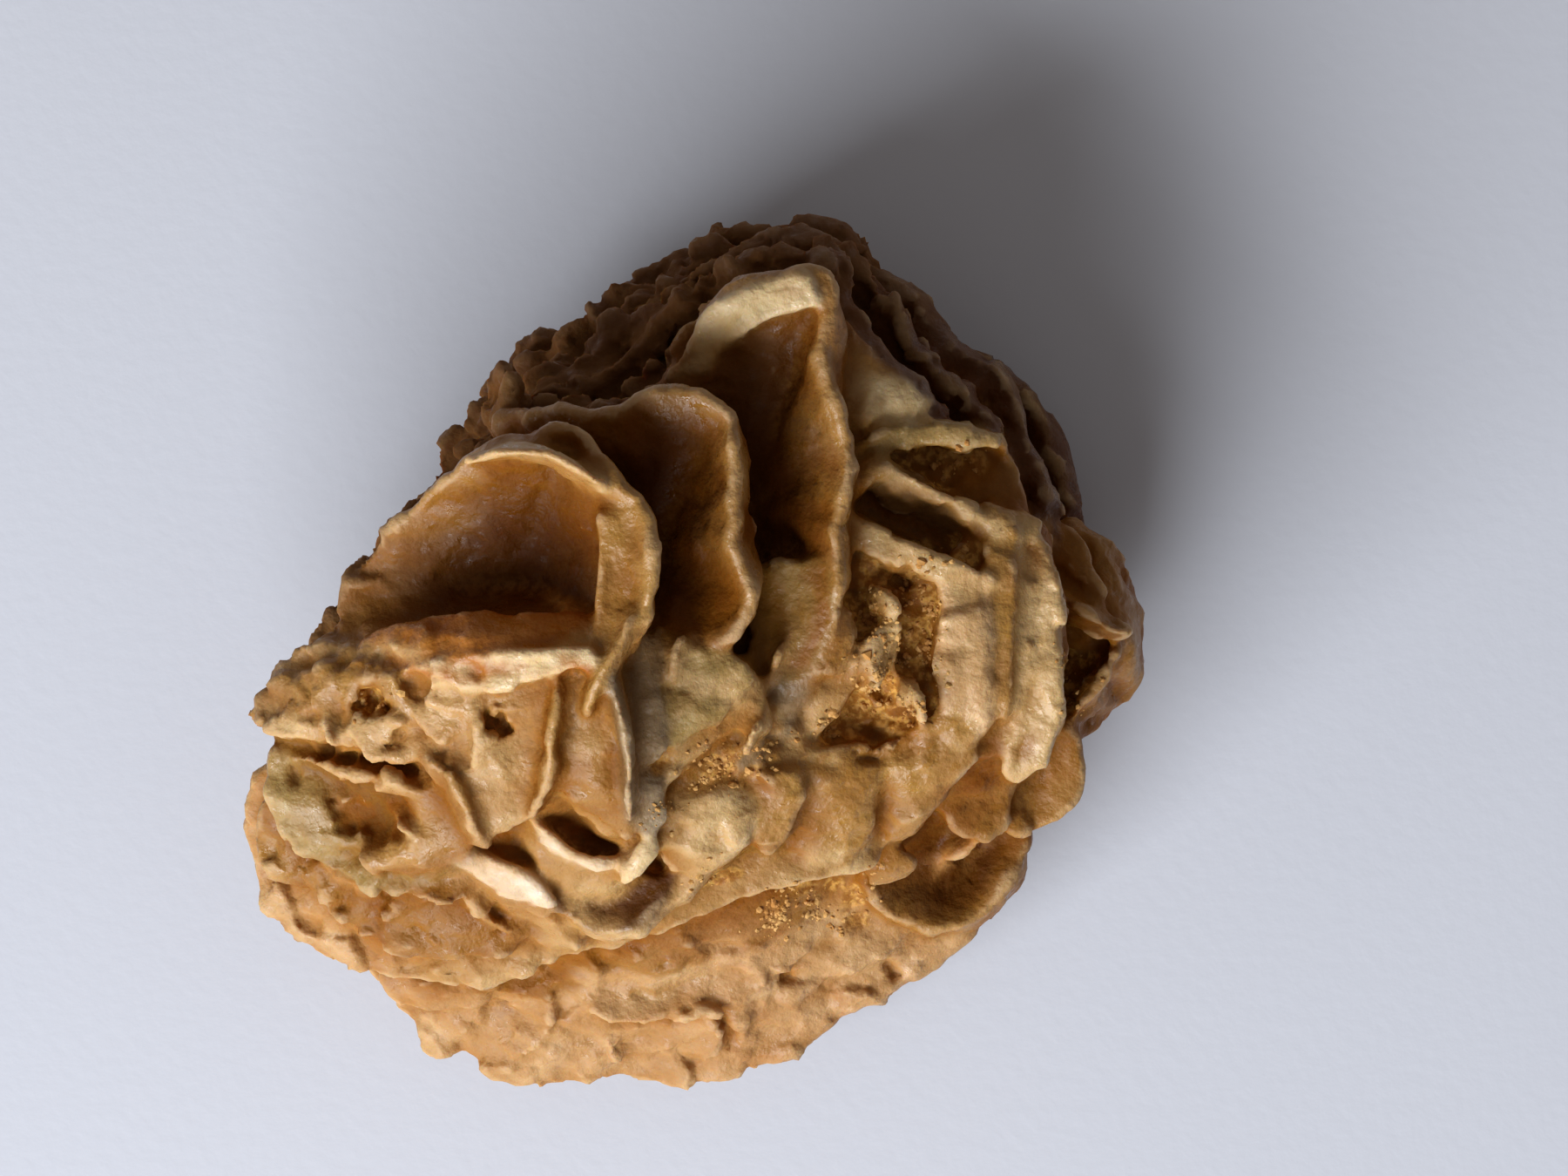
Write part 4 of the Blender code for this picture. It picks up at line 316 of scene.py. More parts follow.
# Slabs: outline points (x, y, z) of a flat crystal face, height of its middle, depth
SLABS = {
    # overlapping faces in the middle
    "facet_upper": ([(-3, 3, 41.4), (0.5, 1.2, 41.4), (5, 0.2, 40.6), (6.2, -1.4, 39.8),
                     (3.5, -4, 39.6), (0, -6.5, 39.8), (-2.2, -7.8, 40), (-2.6, -2, 41.2)], 0.5, 6),
    "facet_strip": ([(6.7, -1.8, 38.2), (7.2, -4.9, 37.2), (3, -6.6, 37.2), (-1, -9.6, 37.4),
                     (-4.6, -13, 37.4), (-4, -11, 38.4), (-2, -8, 38.8), (1, -6, 38.6),
                     (4, -4, 38.6)], 0.2, 6),
    "facet_speckled": ([(3, -7.6, 36), (5.4, -6.4, 36.2), (7.3, -5.8, 35.8), (6.8, -8, 35),
                        (5, -9.6, 34.8), (3, -9.4, 35.2)], 0.4, 5),
    "facet_violet": ([(7, -0.8, 36), (10.4, -1.6, 35.8), (11, -3.6, 34.8), (9, -6, 33.8),
                      (7.4, -4.8, 34.4)], 0.3, 6),
    "lobe_left": ([(-2.6, -15.6, 34.4), (-1.6, -13, 35.4), (1.5, -11.6, 35.8), (5, -11, 35.2),
                   (6.2, -12.4, 34.6), (5.6, -15.4, 33.4), (4, -17.4, 32.2), (1, -19, 31.4),
                   (-1, -18.6, 31.8), (-2.6, -17, 33.2)], 1.2, 7),
    "lobe_right": ([(6.2, -10.2, 35.2), (8, -9.6, 35), (10.1, -9.8, 34.4), (10.2, -12, 33.6),
                    (9, -15, 32.2), (7, -17, 31.2), (6, -15.4, 32.4), (6.4, -12.4, 34.2)], 0.9, 7),
    "sand_bed": ([(-4, -11.6, 36.2), (-1, -9.2, 36.6), (3, -7.4, 36), (7.4, -5.6, 35.4),
                  (10.2, -6, 34.2), (10.4, -9, 33.6), (7, -10.4, 34.2), (2, -11.4, 35.2),
                  (-2.6, -13.6, 35.4)], 0.0, 7),
    "fan": ([(10.6, -9.4, 33), (13, -7.6, 32.6), (16, -7.2, 31.6), (16.6, -10, 30.2),
             (16.4, -15.6, 27.4), (14.4, -18.6, 26), (10, -19.4, 26), (8.8, -16.8, 27.4)], 1.0, 7),
    "fan_right": ([(17.4, -9, 30.6), (20.4, -7.6, 30.8), (23, -7.2, 30.2), (24.6, -8.6, 28.8),
                   (22.4, -12, 27.4), (19.6, -15.4, 25.6), (17.4, -16.2, 25.4)], 0.7, 7),
    "grey_rib": ([(-4.9, 1.6, 42.8), (-2.7, 2.2, 42.2), (-2.4, -3, 42.2), (-2.4, -8, 40.8),
                  (-3.8, -9.4, 40.6), (-4.8, -8, 41.4), (-4.9, -3, 42.6)], 0.5, 7),
    "grey_step": ([(-4.8, -9.6, 40.2), (-2.5, -10.4, 39.2), (-2, -14, 38), (-3.2, -15.4, 37.4),
                   (-4.6, -15, 38.2), (-5, -12.4, 39.4)], 0.4, 7),
    "grey_prism": ([(-3.2, -15.2, 37.6), (-2.6, -16.6, 37), (-4.4, -18.6, 36.2),
                    (-5.8, -19.4, 35.8), (-5.9, -18, 36.4), (-4.6, -16.2, 37.4)], 0.4, 3),
    # lower end of the tall petal and the plates beside it
    "tall_step": ([(5.2, 8, 35), (8.5, 9, 36.4), (12, 8.6, 37.6), (12.8, 4.6, 37.6),
                   (12, 1.4, 37), (10.6, -1.6, 35.8), (7.6, -1.2, 35.4), (5.4, 0.4, 35.6),
                   (4.9, 4, 35.2)], -0.4, 8),
    "plate_short": ([(13, 6, 36.2), (14.5, 3.4, 36), (14.2, 1.4, 35.8), (12, -2, 35.2),
                     (10.6, -4.4, 34.6), (11.4, -1, 35.8), (12.6, 3, 36.4)], 0.1, 8),
    "plate_long": ([(17, 3.2, 34.6), (18, 2.2, 33.8), (14.6, -2.6, 33.6), (11.4, -6.6, 32.8),
                    (9.4, -9, 32.2), (9.6, -7.4, 33.2), (12, -3.4, 34.6), (14.6, 0.4, 35)], 0.2, 8),
    "petal_top": ([(-1.8, 24.8, 34), (0.4, 28.4, 36.8), (2.4, 31.3, 38.8), (6, 33, 39.4),
                   (10.6, 33.6, 39.8), (11.4, 31, 39.4), (7, 29.8, 38.4), (4, 27.8, 37.2),
                   (1.6, 25.6, 35.4)], 0.2, 7),
    "bowl_front": ([(-25, -0.8, 42), (-21, 0.2, 44.6), (-16, 1, 46.8), (-12, 1.2, 47.6),
                    (-8, 1.5, 47.8), (-7.8, 0, 47.4), (-12, -1.4, 46.4), (-16, -2.4, 45.2),
                    (-21, -2, 43.4)], 0.1, 4),
    "bowl_wall": ([(-7.6, 13, 46.2), (-4.6, 12.6, 46.4), (-3.9, 7, 46.8), (-4.4, 2.6, 46.6),
                   (-8.2, 2, 46.4), (-7.4, 8, 46.2)], -0.3, 8),
    # terrace on the left
    "bar_upper": ([(-38.4, -4.6, 31.4), (-34, -5.2, 35.8), (-29, -6.2, 38.4), (-25, -7, 39.9),
                   (-22, -7.8, 40.4), (-22, -8.8, 40), (-26, -8.4, 39), (-31, -7.4, 37),
                   (-35.6, -6.6, 34), (-38.2, -5.8, 31.2)], 0.5, 5),
    "bar_lower": ([(-34.8, -8.6, 33.4), (-30, -9, 36.2), (-25, -10, 37.8), (-22.4, -11.4, 38),
                   (-25.6, -11.3, 37), (-31, -10.1, 35.2)], 0.4, 5),
    "white_facet": ([(-21, -17.2, 34.6), (-17.4, -17, 35.4), (-14, -18.6, 34.8),
                     (-11.6, -21.6, 33.2), (-13.6, -22, 32.4), (-16.6, -20.8, 33)], 0.2, 5),
    "wavy_middle": ([(-11.4, -22, 31.6), (-8.6, -23.9, 31), (-6.7, -24.1, 30.8),
                     (-3.9, -23.4, 30.8), (-2, -21.5, 31), (-1, -19.2, 31.2), (-4, -18.4, 31.2),
                     (-8, -18.8, 31.4), (-11.4, -19.6, 31.8)], -0.9, 6),
    "crescent_rim": ([(-13.9, -13.4, 37.6), (-13.1, -15.7, 36.6), (-11.2, -17.1, 35.9),
                      (-8.4, -18.3, 35.4), (-5.6, -17.8, 35.4), (-5.5, -16.9, 35.7),
                      (-8.4, -17.2, 36), (-10.8, -16, 36.6), (-12.2, -14.4, 37.4)], 0.1, 3),
    # triangular pockets on the right
    "pocket_left": ([(13, 13.2, 34.2), (15.8, 15.6, 34.4), (17.6, 17.2, 34.4), (16, 17.8, 34),
                     (13.4, 15.4, 33.6)], 0.2, 6),
    "pocket_line": ([(15.6, 17.9, 34.2), (17.2, 17.7, 34.4), (21, 15.6, 34), (25.6, 12.8, 32.6),
                     (26.8, 11.2, 32), (25.6, 11.4, 31.4), (20.6, 14, 33), (16.4, 16.4, 33.6)],
                    0.0, 6),
    "pocket_facet": ([(16, 16.6, 33.4), (20.4, 14.4, 32.8), (25.4, 11.8, 31.2), (25, 9.8, 28.6),
                      (20.6, 11.8, 29.6), (16.8, 13.6, 31.4)], 0.0, 5),
    "pocket_wall": ([(12.8, 12.6, 34.4), (14.4, 12.8, 34.8), (20, 10, 35), (26.6, 7.2, 33),
                     (26.4, 5.8, 32.4), (21, 7.2, 34), (16, 9.2, 34.6), (13, 10.6, 34)], 0.6, 6),
    "pocket_band": ([(13.8, 18.8, 33.4), (17, 20.6, 33.8), (21.6, 21.2, 33.2), (27.2, 20, 31.2),
                     (27.4, 18.4, 31), (22, 19.2, 32.4), (18, 18.8, 33), (14.6, 17.2, 33)],
                    0.5, 7),
    "back_facet": ([(13.4, 20.6, 32.6), (14.6, 24.6, 33.4), (18.8, 24.4, 32.6),
                    (21.2, 22.4, 31.6), (20.4, 21.2, 31.8), (17, 20.8, 32.4)], 0.3, 6),
    # pages standing side by side on the right
    "page_bed": ([(21, 8, 31.6), (26, 12, 30.6), (30.6, 9, 29.6), (31.6, 1, 29.2),
                  (30.4, -7, 27.2), (25.6, -8.4, 27.8), (22, -5, 30.2), (21, 1, 31.4)], 0.0, 7),
    "page_outer": ([(28.9, 13, 30.2), (31, 11.4, 30), (32.6, 6, 30.6), (33, 0.7, 30.6),
                    (32.6, -4.7, 29.4), (31.2, -8.7, 27.4), (29, -10.6, 26), (28, -9.4, 27.2),
                    (28.9, -5.5, 29.6), (29.2, 0.7, 30.8), (29.4, 6, 31.2), (28.9, 10, 31)],
                   1.1, 9),
    "page_middle": ([(25.8, 13.6, 31.2), (28.2, 12.8, 31.4), (28.6, 9, 32), (28.6, 3, 32.2),
                     (28.2, -3, 31.4), (27.6, -5.6, 30.4), (26.9, -2, 31.6), (26.7, 3, 32),
                     (25.7, 7, 32), (25.6, 10, 31.8)], 0.8, 9),
    "page_inner": ([(21.8, 6.8, 33), (25.4, 7.2, 33), (26.4, 2.6, 33), (26.4, -2, 32.2),
                    (26.6, -5.4, 30.8), (25, -8, 29.4), (23, -7, 30.4), (22, -3.4, 31.8),
                    (21.6, 1, 32.6)], 0.9, 8),
    "disc_right": ([(2, -36.6, 8.4), (10, -34.4, 9), (17, -30.6, 9.8), (24, -24.6, 10.8),
                    (20, -23, 12.4), (12, -27, 12.2), (4, -31, 11.4)], 0.4, 4),
}

# Crystals of the flanks: heading round the rose and up-tilt of the outer edge in degrees,
# height, reach of the outer edge from the axis, radius and thickness in millimetres
FLANK_CRYSTALS = [
    (258, 8, 14, 33, 13, 3.2), (286, 24, 12, 31, 12, 3.0), (312, 10, 8, 33, 12, 3.0),
    (340, 30, 12, 31, 12, 3.2), (352, 8, 6, 33, 13, 3.0), (14, 16, 7, 35, 12, 3.0),
    (40, 4, 6, 36, 13, 3.2), (66, 20, 6, 35, 13, 3.0), (92, 6, 8, 35, 13, 3.2),
    (118, 26, 7, 30, 12, 3.0), (140, 8, 7, 28, 13, 3.2), (158, 30, 14, 28, 12, 3.0),
    (176, 6, 12, 32, 13, 3.4), (192, 22, 15, 36, 12, 3.0), (208, 6, 9, 36, 12, 3.2),
    (226, 30, 12, 34, 11, 3.0), (146, 60, 20, 24, 8, 2.6), (104, 58, 19, 29, 8, 2.6),
    (168, 52, 27, 29, 9, 2.6), (20, 62, 21, 33, 8, 2.6), (335, 60, 19, 31, 8, 2.6),
    (198, 64, 24, 35, 8, 2.6),
]


def smooth_curve(points, count, closed):
    """Evenly counted points on a Catmull-Rom curve through the given ones."""
    knots = np.array(points, float)
    spans = len(knots) if closed else len(knots) - 1
    along = np.linspace(0, spans, count, endpoint=not closed)
    start = np.minimum(along.astype(int), spans - 1)
    f = (along - start)[:, None]

    def knot(index):
        return knots[index % len(knots)] if closed else knots[np.clip(index, 0, spans)]

    a, b, c, d = (knot(start + step) for step in (-1, 0, 1, 2))
    bend = (2 * a - 5 * b + 4 * c - d) * f + (3 * b - a - 3 * c + d) * f * f
    return b + 0.5 * f * (c - a + bend)


def unit(vectors):
    return vectors / (np.linalg.norm(vectors, axis=-1, keepdims=True) + 1e-12)


def loops_to_faces(loops, around, first):
    """Quads between neighbouring loops of a closed shell, as index tuples."""
    faces = []
    for loop in range(loops - 1):
        for side in range(around):
            a = first + loop * around + side
            b = first + loop * around + (side + 1) % around
            faces.append((a, a + around, b + around, b))
    return faces


def cap(centre, loop_start, around, outward):
    """Triangles from a middle point to the loop that starts at loop_start."""
    faces = []
    for side in range(around):
        a = loop_start + side
        b = loop_start + (side + 1) % around
        faces.append((centre, a, b) if outward else (centre, b, a))
    return faces


def anticlockwise(loop):
    """The closed loop, turned round where it runs clockwise seen from above."""
    ahead = np.roll(loop, -1, axis=0)
    area = (loop[:, 0] * ahead[:, 1] - loop[:, 1] * ahead[:, 0]).sum()
    return loop[::-1] if area < 0 else loop


def chipped(edge, hub):
    """The rim with small chips and waves, in and out from the hub."""
    outward = unit((edge - hub) * (1, 1, 0))
    wave = np.array([noise.noise(Vector(p) / 3.6) * 0.65 + noise.noise(Vector(p) / 1.3) * 0.38
                     for p in edge])
    rise = np.array([noise.noise(Vector(p) / 2.6 + Vector((9, 4, 2))) for p in edge])
    edge = edge + outward * wave[:, None]
    edge[:, 2] += 0.5 * rise
    return edge


def blade(rim, hub, cup, lip, heart):
    """A cupped sheet from its hub to its rim, thick at the heart and thin at the lip."""
    edge = anticlockwise(smooth_curve(rim, RIM_POINTS, True))
    hub = np.array(hub, float)
    edge = chipped(edge, hub)
    share = (np.arange(1, RIM_RINGS + 1) / RIM_RINGS)[:, None]
    top = np.empty((RIM_RINGS, RIM_POINTS, 3))
    top[..., :2] = hub[:2] + (edge[:, :2] - hub[:2]) * share[..., None]
    top[..., 2] = hub[2] + (edge[:, 2] - hub[2]) * share ** cup

    outward = np.gradient(top, axis=0)
    sideways = (np.roll(top, -1, axis=1) - np.roll(top, 1, axis=1)) / 2
    normal = unit(np.cross(outward, sideways))
    low = top - normal * (heart + (lip - heart) * share ** WEDGE)[..., None]
    level = outward[-1] * (1, 1, 0)
    lip_loop = top[-1] - normal[-1] * lip * 0.35 + unit(level) * lip * 0.1

    points = np.concatenate([hub[None], *top, lip_loop, *low[::-1], hub[None] - (0, 0, heart)])
    loops = 2 * RIM_RINGS + 1
    faces = cap(0, 1, RIM_POINTS, True)
    faces += loops_to_faces(loops, RIM_POINTS, 1)
    faces += cap(len(points) - 1, 1 + (loops - 1) * RIM_POINTS, RIM_POINTS, False)
    return points, faces


def rib(path, width, depth):
    """A spindle along a path, with an upright pear-shaped section, narrow end up."""
    line = smooth_curve(path, RIB_STEPS, False)
    ahead = unit(np.gradient(line, axis=0))
    across = unit(np.cross(ahead, (0, 0, 1)))
    upright = np.cross(across, ahead)
    along = np.linspace(-1, 1, RIB_STEPS)
    size = np.sqrt(np.clip(1 - np.abs(along) ** 3, 0.02, 1))[:, None, None]
    turn = np.linspace(0, 2 * pi, RIB_SIDES, endpoint=False)[None, :, None]
    roof = 1 - 0.55 * np.sin(turn)
    section = across[:, None] * np.cos(turn) * roof * width / 2
    section = section + upright[:, None] * np.sin(turn) * depth / 2
    points = np.concatenate([(line[:, None] + section * size).reshape(-1, 3), line[:1], line[-1:]])
    faces = loops_to_faces(RIB_STEPS, RIB_SIDES, 0)
    faces += cap(len(points) - 2, 0, RIB_SIDES, True)
    faces += cap(len(points) - 1, (RIB_STEPS - 1) * RIB_SIDES, RIB_SIDES, False)
    return points, faces


def slab(outline, crown, depth):
    """A crystal face with straight edges and steep sides."""
    corners = anticlockwise(np.array(outline, float))
    ahead = np.roll(corners, -1, axis=0)
    along = np.linspace(0, 1, SLAB_STEPS, endpoint=False)[:, None]
    top = np.concatenate([a + (b - a) * along for a, b in zip(corners, ahead)])
    middle = top.mean(axis=0)
    inner = middle + (top - middle) * 0.5 + (0, 0, crown * 0.8)
    low = middle + (top - middle) * 1.06 - (0, 0, depth)
    points = np.concatenate([[middle + (0, 0, crown)], inner, top, low, [middle - (0, 0, depth)]])
    around = len(top)
    faces = cap(0, 1, around, True) + loops_to_faces(3, around, 1)
    faces += cap(len(points) - 1, 1 + 2 * around, around, False)
    return points, faces


def flank_crystal(heading, tilt, height, reach, radius, thickness):
    """A lens-shaped disc that leans out of the flank."""
    heading = radians(heading)
    tilt = radians(tilt)
    out = np.array((cos(heading) * cos(tilt), sin(heading) * cos(tilt), sin(tilt)))
    side = np.array((-sin(heading), cos(heading), 0.0))
    face = np.cross(side, out)
    middle = np.array((cos(heading) * reach, sin(heading) * reach, height)) - out * radius
    turn = np.linspace(0, 2 * pi, LENS_SIDES, endpoint=False)[:, None]
    wave = radius * (1 + 0.06 * np.cos(3 * turn + heading) + 0.04 * np.cos(7 * turn))
    around = (out * np.cos(turn) + side * np.sin(turn)) * wave
    half = thickness / 2
    loops = [middle + around * share + face * half * lift for share, lift in
             ((0.55, -0.85), (0.97, -LENS_EDGE), (1.0, 0.0), (0.97, LENS_EDGE), (0.55, 0.85))]
    points = np.concatenate([*loops, [middle - face * half], [middle + face * half]])
    faces = [tuple(reversed(quad)) for quad in loops_to_faces(len(loops), LENS_SIDES, 0)]
    faces += cap(len(points) - 2, 0, LENS_SIDES, False)
    faces += cap(len(points) - 1, (len(loops) - 1) * LENS_SIDES, LENS_SIDES, True)
    return points, faces


# Stone tones, linear colours
CREAM = (0.54, 0.35, 0.145)
HONEY = (0.37, 0.185, 0.036)
OLIVE = (0.36, 0.23, 0.07)
PINK = (0.57, 0.36, 0.165)
BROWN = (0.12, 0.045, 0.006)
AMBER = (0.33, 0.155, 0.03)
# rust-brown sand stain, made darker as painted shade for the upper-left flank that faces away from the
# light
RUST_AND_SHADE = (0.15, 0.062, 0.018)
WHITE = (0.86, 0.76, 0.62)
GREY = (0.29, 0.20, 0.105)
PALE = (0.70, 0.54, 0.30)
# painted glow: the orange of light shining through the front ledge of the great bowl
PAINTED_GLOW_ORANGE = (0.42, 0.16, 0.018)
TONES = {
    "base_disc": PINK, "disc_step": PINK, "disc_right": PINK,
    "back_low": RUST_AND_SHADE, "back_plate": RUST_AND_SHADE, "back_middle": RUST_AND_SHADE, "back_top": RUST_AND_SHADE,
    "left_low": PINK, "white_facet": WHITE, "lobe_left": CREAM, "facet_upper": OLIVE,
    "facet_strip": CREAM, "facet_speckled": GREY, "facet_violet": GREY, "tall_step": OLIVE,
    "middle_mass": OLIVE, "grey_rib": GREY, "grey_step": GREY, "grey_prism": PALE,
    "great_bowl": HONEY, "bowl_wall": HONEY, "page_bed": AMBER, "tall_petal": AMBER,
    "middle_petal": AMBER, "crescent": CREAM, "shoulder": CREAM, "left_hollow": OLIVE,
    "wavy_rim": CREAM, "wavy_middle": BROWN, "crescent_rim": WHITE, "bar_lower": CREAM,
    "right_mass": HONEY, "bowl_ledge": PAINTED_GLOW_ORANGE, "bowl_crest": CREAM, "bowl_front": PALE,
    "long_rim": CREAM, "inner_rib": GREY, "pocket_band": OLIVE, "pocket_facet": GREY,
    "pocket_wall": CREAM, "pocket_line": CREAM, "back_facet": PALE, "page_outer": CREAM,
    "page_inner": PINK, "petal_top": PALE, "plate_long": CREAM, "bar_upper": CREAM,
}

# Blades painted dark brown towards the hub: painted shade in the floors of their bowls
PAINTED_SHADE_BLADES = ("great_bowl", "middle_petal", "tall_petal", "low_petal", "crescent")

# Rough small crystals of the upper-left flank: (x, y, z) of both ends of each row
LAYER_ROWS = [((-26, 9, 17), (-18, 22, 15), 12), ((-18, 24, 15), (2, 36.5, 15), 16),
              ((-24, 11, 24), (-16, 22, 22), 10), ((-14, 24, 21), (3, 34.5, 23), 12),
              ((-19, 18, 27), (-4, 25.5, 28), 10), ((4, 37, 17), (26, 25, 22), 14),
              ((-13, 22, 29), (-4, 23.5, 33), 7)]

# Shards standing in the middle and on the terrace, as rows in the same way
SHARD_ROWS = [((-3, 1, 42), (5, -3, 40.6), 5), ((-2, -6, 40.8), (7, -7, 37.4), 5),
              ((8, 0, 37.2), (9, -8, 35), 4), ((14, 3, 35.4), (20, -4, 33), 6),
              ((18, 8, 33.8), (16, -2, 33.8), 5), ((-31, -6, 37.8), (-24, -6, 40.4), 3),
              ((-24, -14, 37.4), (-19, -10, 40.4), 3)]

# Pits: centre (x, y), lowest level, half sizes across, depth, turn in degrees
PITS = [(-27.4, -3.6, 32, 1.5, 1.2, 2.0, -20), (-16.6, -5.2, 36, 1.0, 1.5, 2.0, 15),
        (-16.4, 15.2, 36, 0.7, 0.4, 0.8, 20), (-34.6, -9.8, 26, 0.5, 1.8, 0.8, 12),
        (-27, -11.6, 28, 4.6, 0.5, 0.3, -14),
        (-28.6, -13.8, 20, 3.0, 2.0, 1.2, -15), (-26.8, -21.6, 20, 0.8, 1.2, 1.2, 0),
        (1.4, 33.8, 20, 1.2, 0.8, 2.0, 10), (18.6, -28.2, 5, 1.8, 0.5, 1.0, -40),
        (19, 7.4, 28, 1.4, 0.8, 1.6, 0), (15.8, -8.4, 24, 1.2, 0.8, 1.2, 0)]

# Rough patches: centre (x, y), half sizes, how rough
ROUGH = [(-26, -5, 12, 6, 0.6), (-31, -22, 10, 7, 0.7), (-14, -24, 8, 4, 0.4),
         (0, -33, 26, 8, 0.55), (18, 0, 6, 8, 0.7), (34, 5, 5, 10, 0.5), (24, 20, 9, 12, 0.35),
         (2, -10, 7, 7, 0.3)]

# Sand patches: centre (x, y), half sizes, grains
SAND = [(19, 4, 5, 6, 190), (17, -3, 5, 4, 120), (1, -9.2, 5, 1.8, 60),
        (-2.5, -12, 1.6, 2.0, 20), (10, -22, 9, 2.4, 170), (2, -19, 3, 0.8, 20),
        (34, -1.5, 2.4, 3.4, 30), (22, 17, 4, 2.2, 24), (-27.4, -3, 2.0, 1.6, 16),
        (6, -8.5, 2, 1.6, 24), (12, -6.5, 2.6, 1.6, 30), (22, 9.5, 4, 1.6, 12)]


def small_crystals(rows, seed, tilt, radius, thickness):
    """Rows of little lens crystals from the seeded generator; sizes as (least, most)."""
    rng = np.random.default_rng(seed)
    shells = []
    for start, end, count in rows:
        start = np.array(start, float)
        end = np.array(end, float)
        for step in np.linspace(0, 1, count):
            x, y, z = start + (end - start) * step + rng.normal(0, (0.7, 0.7, 0.9))
            heading = np.degrees(np.arctan2(y, x)) + rng.normal(0, 28)
            shells.append(flank_crystal_at((x, y, z), heading, rng.normal(tilt, 16),
                                           rng.uniform(*radius), rng.uniform(*thickness)))
    return shells


def flank_crystal_at(tip, heading, tilt, radius, thickness):
    """A flank crystal whose outermost point is at tip."""
    reach = np.hypot(tip[0], tip[1])
    shift = np.array((tip[0], tip[1], 0.0))
    points, faces = flank_crystal(heading, tilt, tip[2], reach, radius, thickness)
    own = np.array((cos(radians(heading)) * reach, sin(radians(heading)) * reach, 0.0))
    return points - own + shift, faces


def crystal_mesh():
    """All shells as one mesh, with each point's tone and its share of the way to its rim."""
    shells = [(*blade(**shape), TONES.get(name, HONEY), True, name in PAINTED_SHADE_BLADES)
              for name, shape in BLADES.items()]
    shells += [(*rib(**shape), TONES.get(name, HONEY), False, False)
               for name, shape in RIBS.items()]
    shells += [(*slab(*shape), TONES.get(name, HONEY), False, False)
               for name, shape in SLABS.items()]
    shells += [(*flank_crystal(*shape), PINK, False, False) for shape in FLANK_CRYSTALS]
    shells += [(*shell, RUST_AND_SHADE, False, False)
               for shell in small_crystals(LAYER_ROWS, seed=7, tilt=22, radius=(1.8, 3.6),
                                         thickness=(1.6, 2.6))]
    shells += [(*shell, CREAM, False, False)
               for shell in small_crystals(SHARD_ROWS, seed=5, tilt=80, radius=(1.6, 3.0),
                                         thickness=(0.8, 1.2))]
    points = []
    faces = []
    tones = []
    shares = []
    count = 0
    for shell_points, shell_faces, tone, is_blade, has_painted_shade in shells:
        points.append(shell_points)
        faces += [tuple(index + count for index in face) for face in shell_faces]
        tones.append(np.tile(tone, (len(shell_points), 1)))
        share = np.ones(len(shell_points))
        if is_blade:
            rings = np.repeat(np.arange(1, RIM_RINGS + 1) / RIM_RINGS, RIM_POINTS)
            share[1:1 + len(rings)] = rings
            # painted shade: darker brown towards the hub, where the floor of the bowl lies in shade
            if has_painted_shade:
                painted_shade = np.clip((0.92 - share[:, None]) / 0.45, 0, 1) * 0.95
                tones[-1] = tones[-1] * (1 - painted_shade) + np.array(BROWN) * painted_shade
        shares.append(share)
        count += len(shell_points)
    points = warped(np.concatenate(points))
    mesh = bpy.data.meshes.new("shells")
    mesh.from_pydata(points.tolist(), [], faces)
    return mesh, points, np.concatenate(tones), np.concatenate(shares)


def warped(points):
    """The points pushed about by a smooth random field, so that no edge stays straight."""
    push = np.array([noise.noise_vector(Vector(p) / BROAD_BEND[0]) * BROAD_BEND[1]
                     + noise.noise_vector(Vector(p) / FINE_BEND[0]) * FINE_BEND[1]
                     for p in points])
    return points + push * (1, 1, 0.8)


def facets(points, size, offset):
    """A broken, faceted relief: each random cell is tilted its own way."""
    heights = []
    for p in points:
        place = Vector(p) / size + Vector((offset, -offset, offset * 0.5))
        cell = noise.voronoi(place)[1][0]
        lean = noise.noise_vector(cell * 3.7 + Vector((5, 1, 8)))
        heights.append((place - cell).dot(lean) * size)
    return np.array(heights)


def with_modifier(mesh, kind, **settings):
    """The mesh after one modifier."""
    obj = bpy.data.objects.new("scratch", mesh)
    bpy.context.scene.collection.objects.link(obj)
    modifier = obj.modifiers.new(kind, kind)
    for name, value in settings.items():
        setattr(modifier, name, value)
    graph = bpy.context.evaluated_depsgraph_get()
    result = bpy.data.meshes.new_from_object(obj.evaluated_get(graph))
    bpy.data.objects.remove(obj)
    return result


def read(items, name, width, kind):
    """One property of all the items, as rows of the given width."""
    flat = np.empty(len(items) * width, kind)
    items.foreach_get(name, flat)
    return flat.reshape(-1, width)


def coordinates(mesh):
    return read(mesh.vertices, "co", 3, np.float32).astype(float)


def normals(mesh):
    return read(mesh.vertex_normals, "vector", 3, np.float32).astype(float)


def move_points(mesh, points):
    mesh.vertices.foreach_set("co", points.astype(np.float32).ravel())
    mesh.update()


def edge_pairs(mesh):
    return read(mesh.edges, "vertices", 2, np.int32)


def ray_tree(mesh):
    return BVHTree.FromPolygons(coordinates(mesh).tolist(), [tuple(p.vertices) for p in mesh.polygons])


def averaged(values, edges, reach):
    """Values blurred along the edges of the mesh, over about reach millimetres."""
    rounds = max(1, round(2.5 * (reach / VOXEL) ** 2))
    count = len(values)
    ends = np.concatenate([edges[:, 0], edges[:, 1]])
    others = np.concatenate([edges[:, 1], edges[:, 0]])
    weight = np.bincount(ends, minlength=count)[:, None] + 1.0
    values = values.reshape(count, -1)
    for _ in range(rounds):
        total = np.stack([np.bincount(ends, column[others], count) for column in values.T], axis=1)
        values = (values + total) / weight
    return values


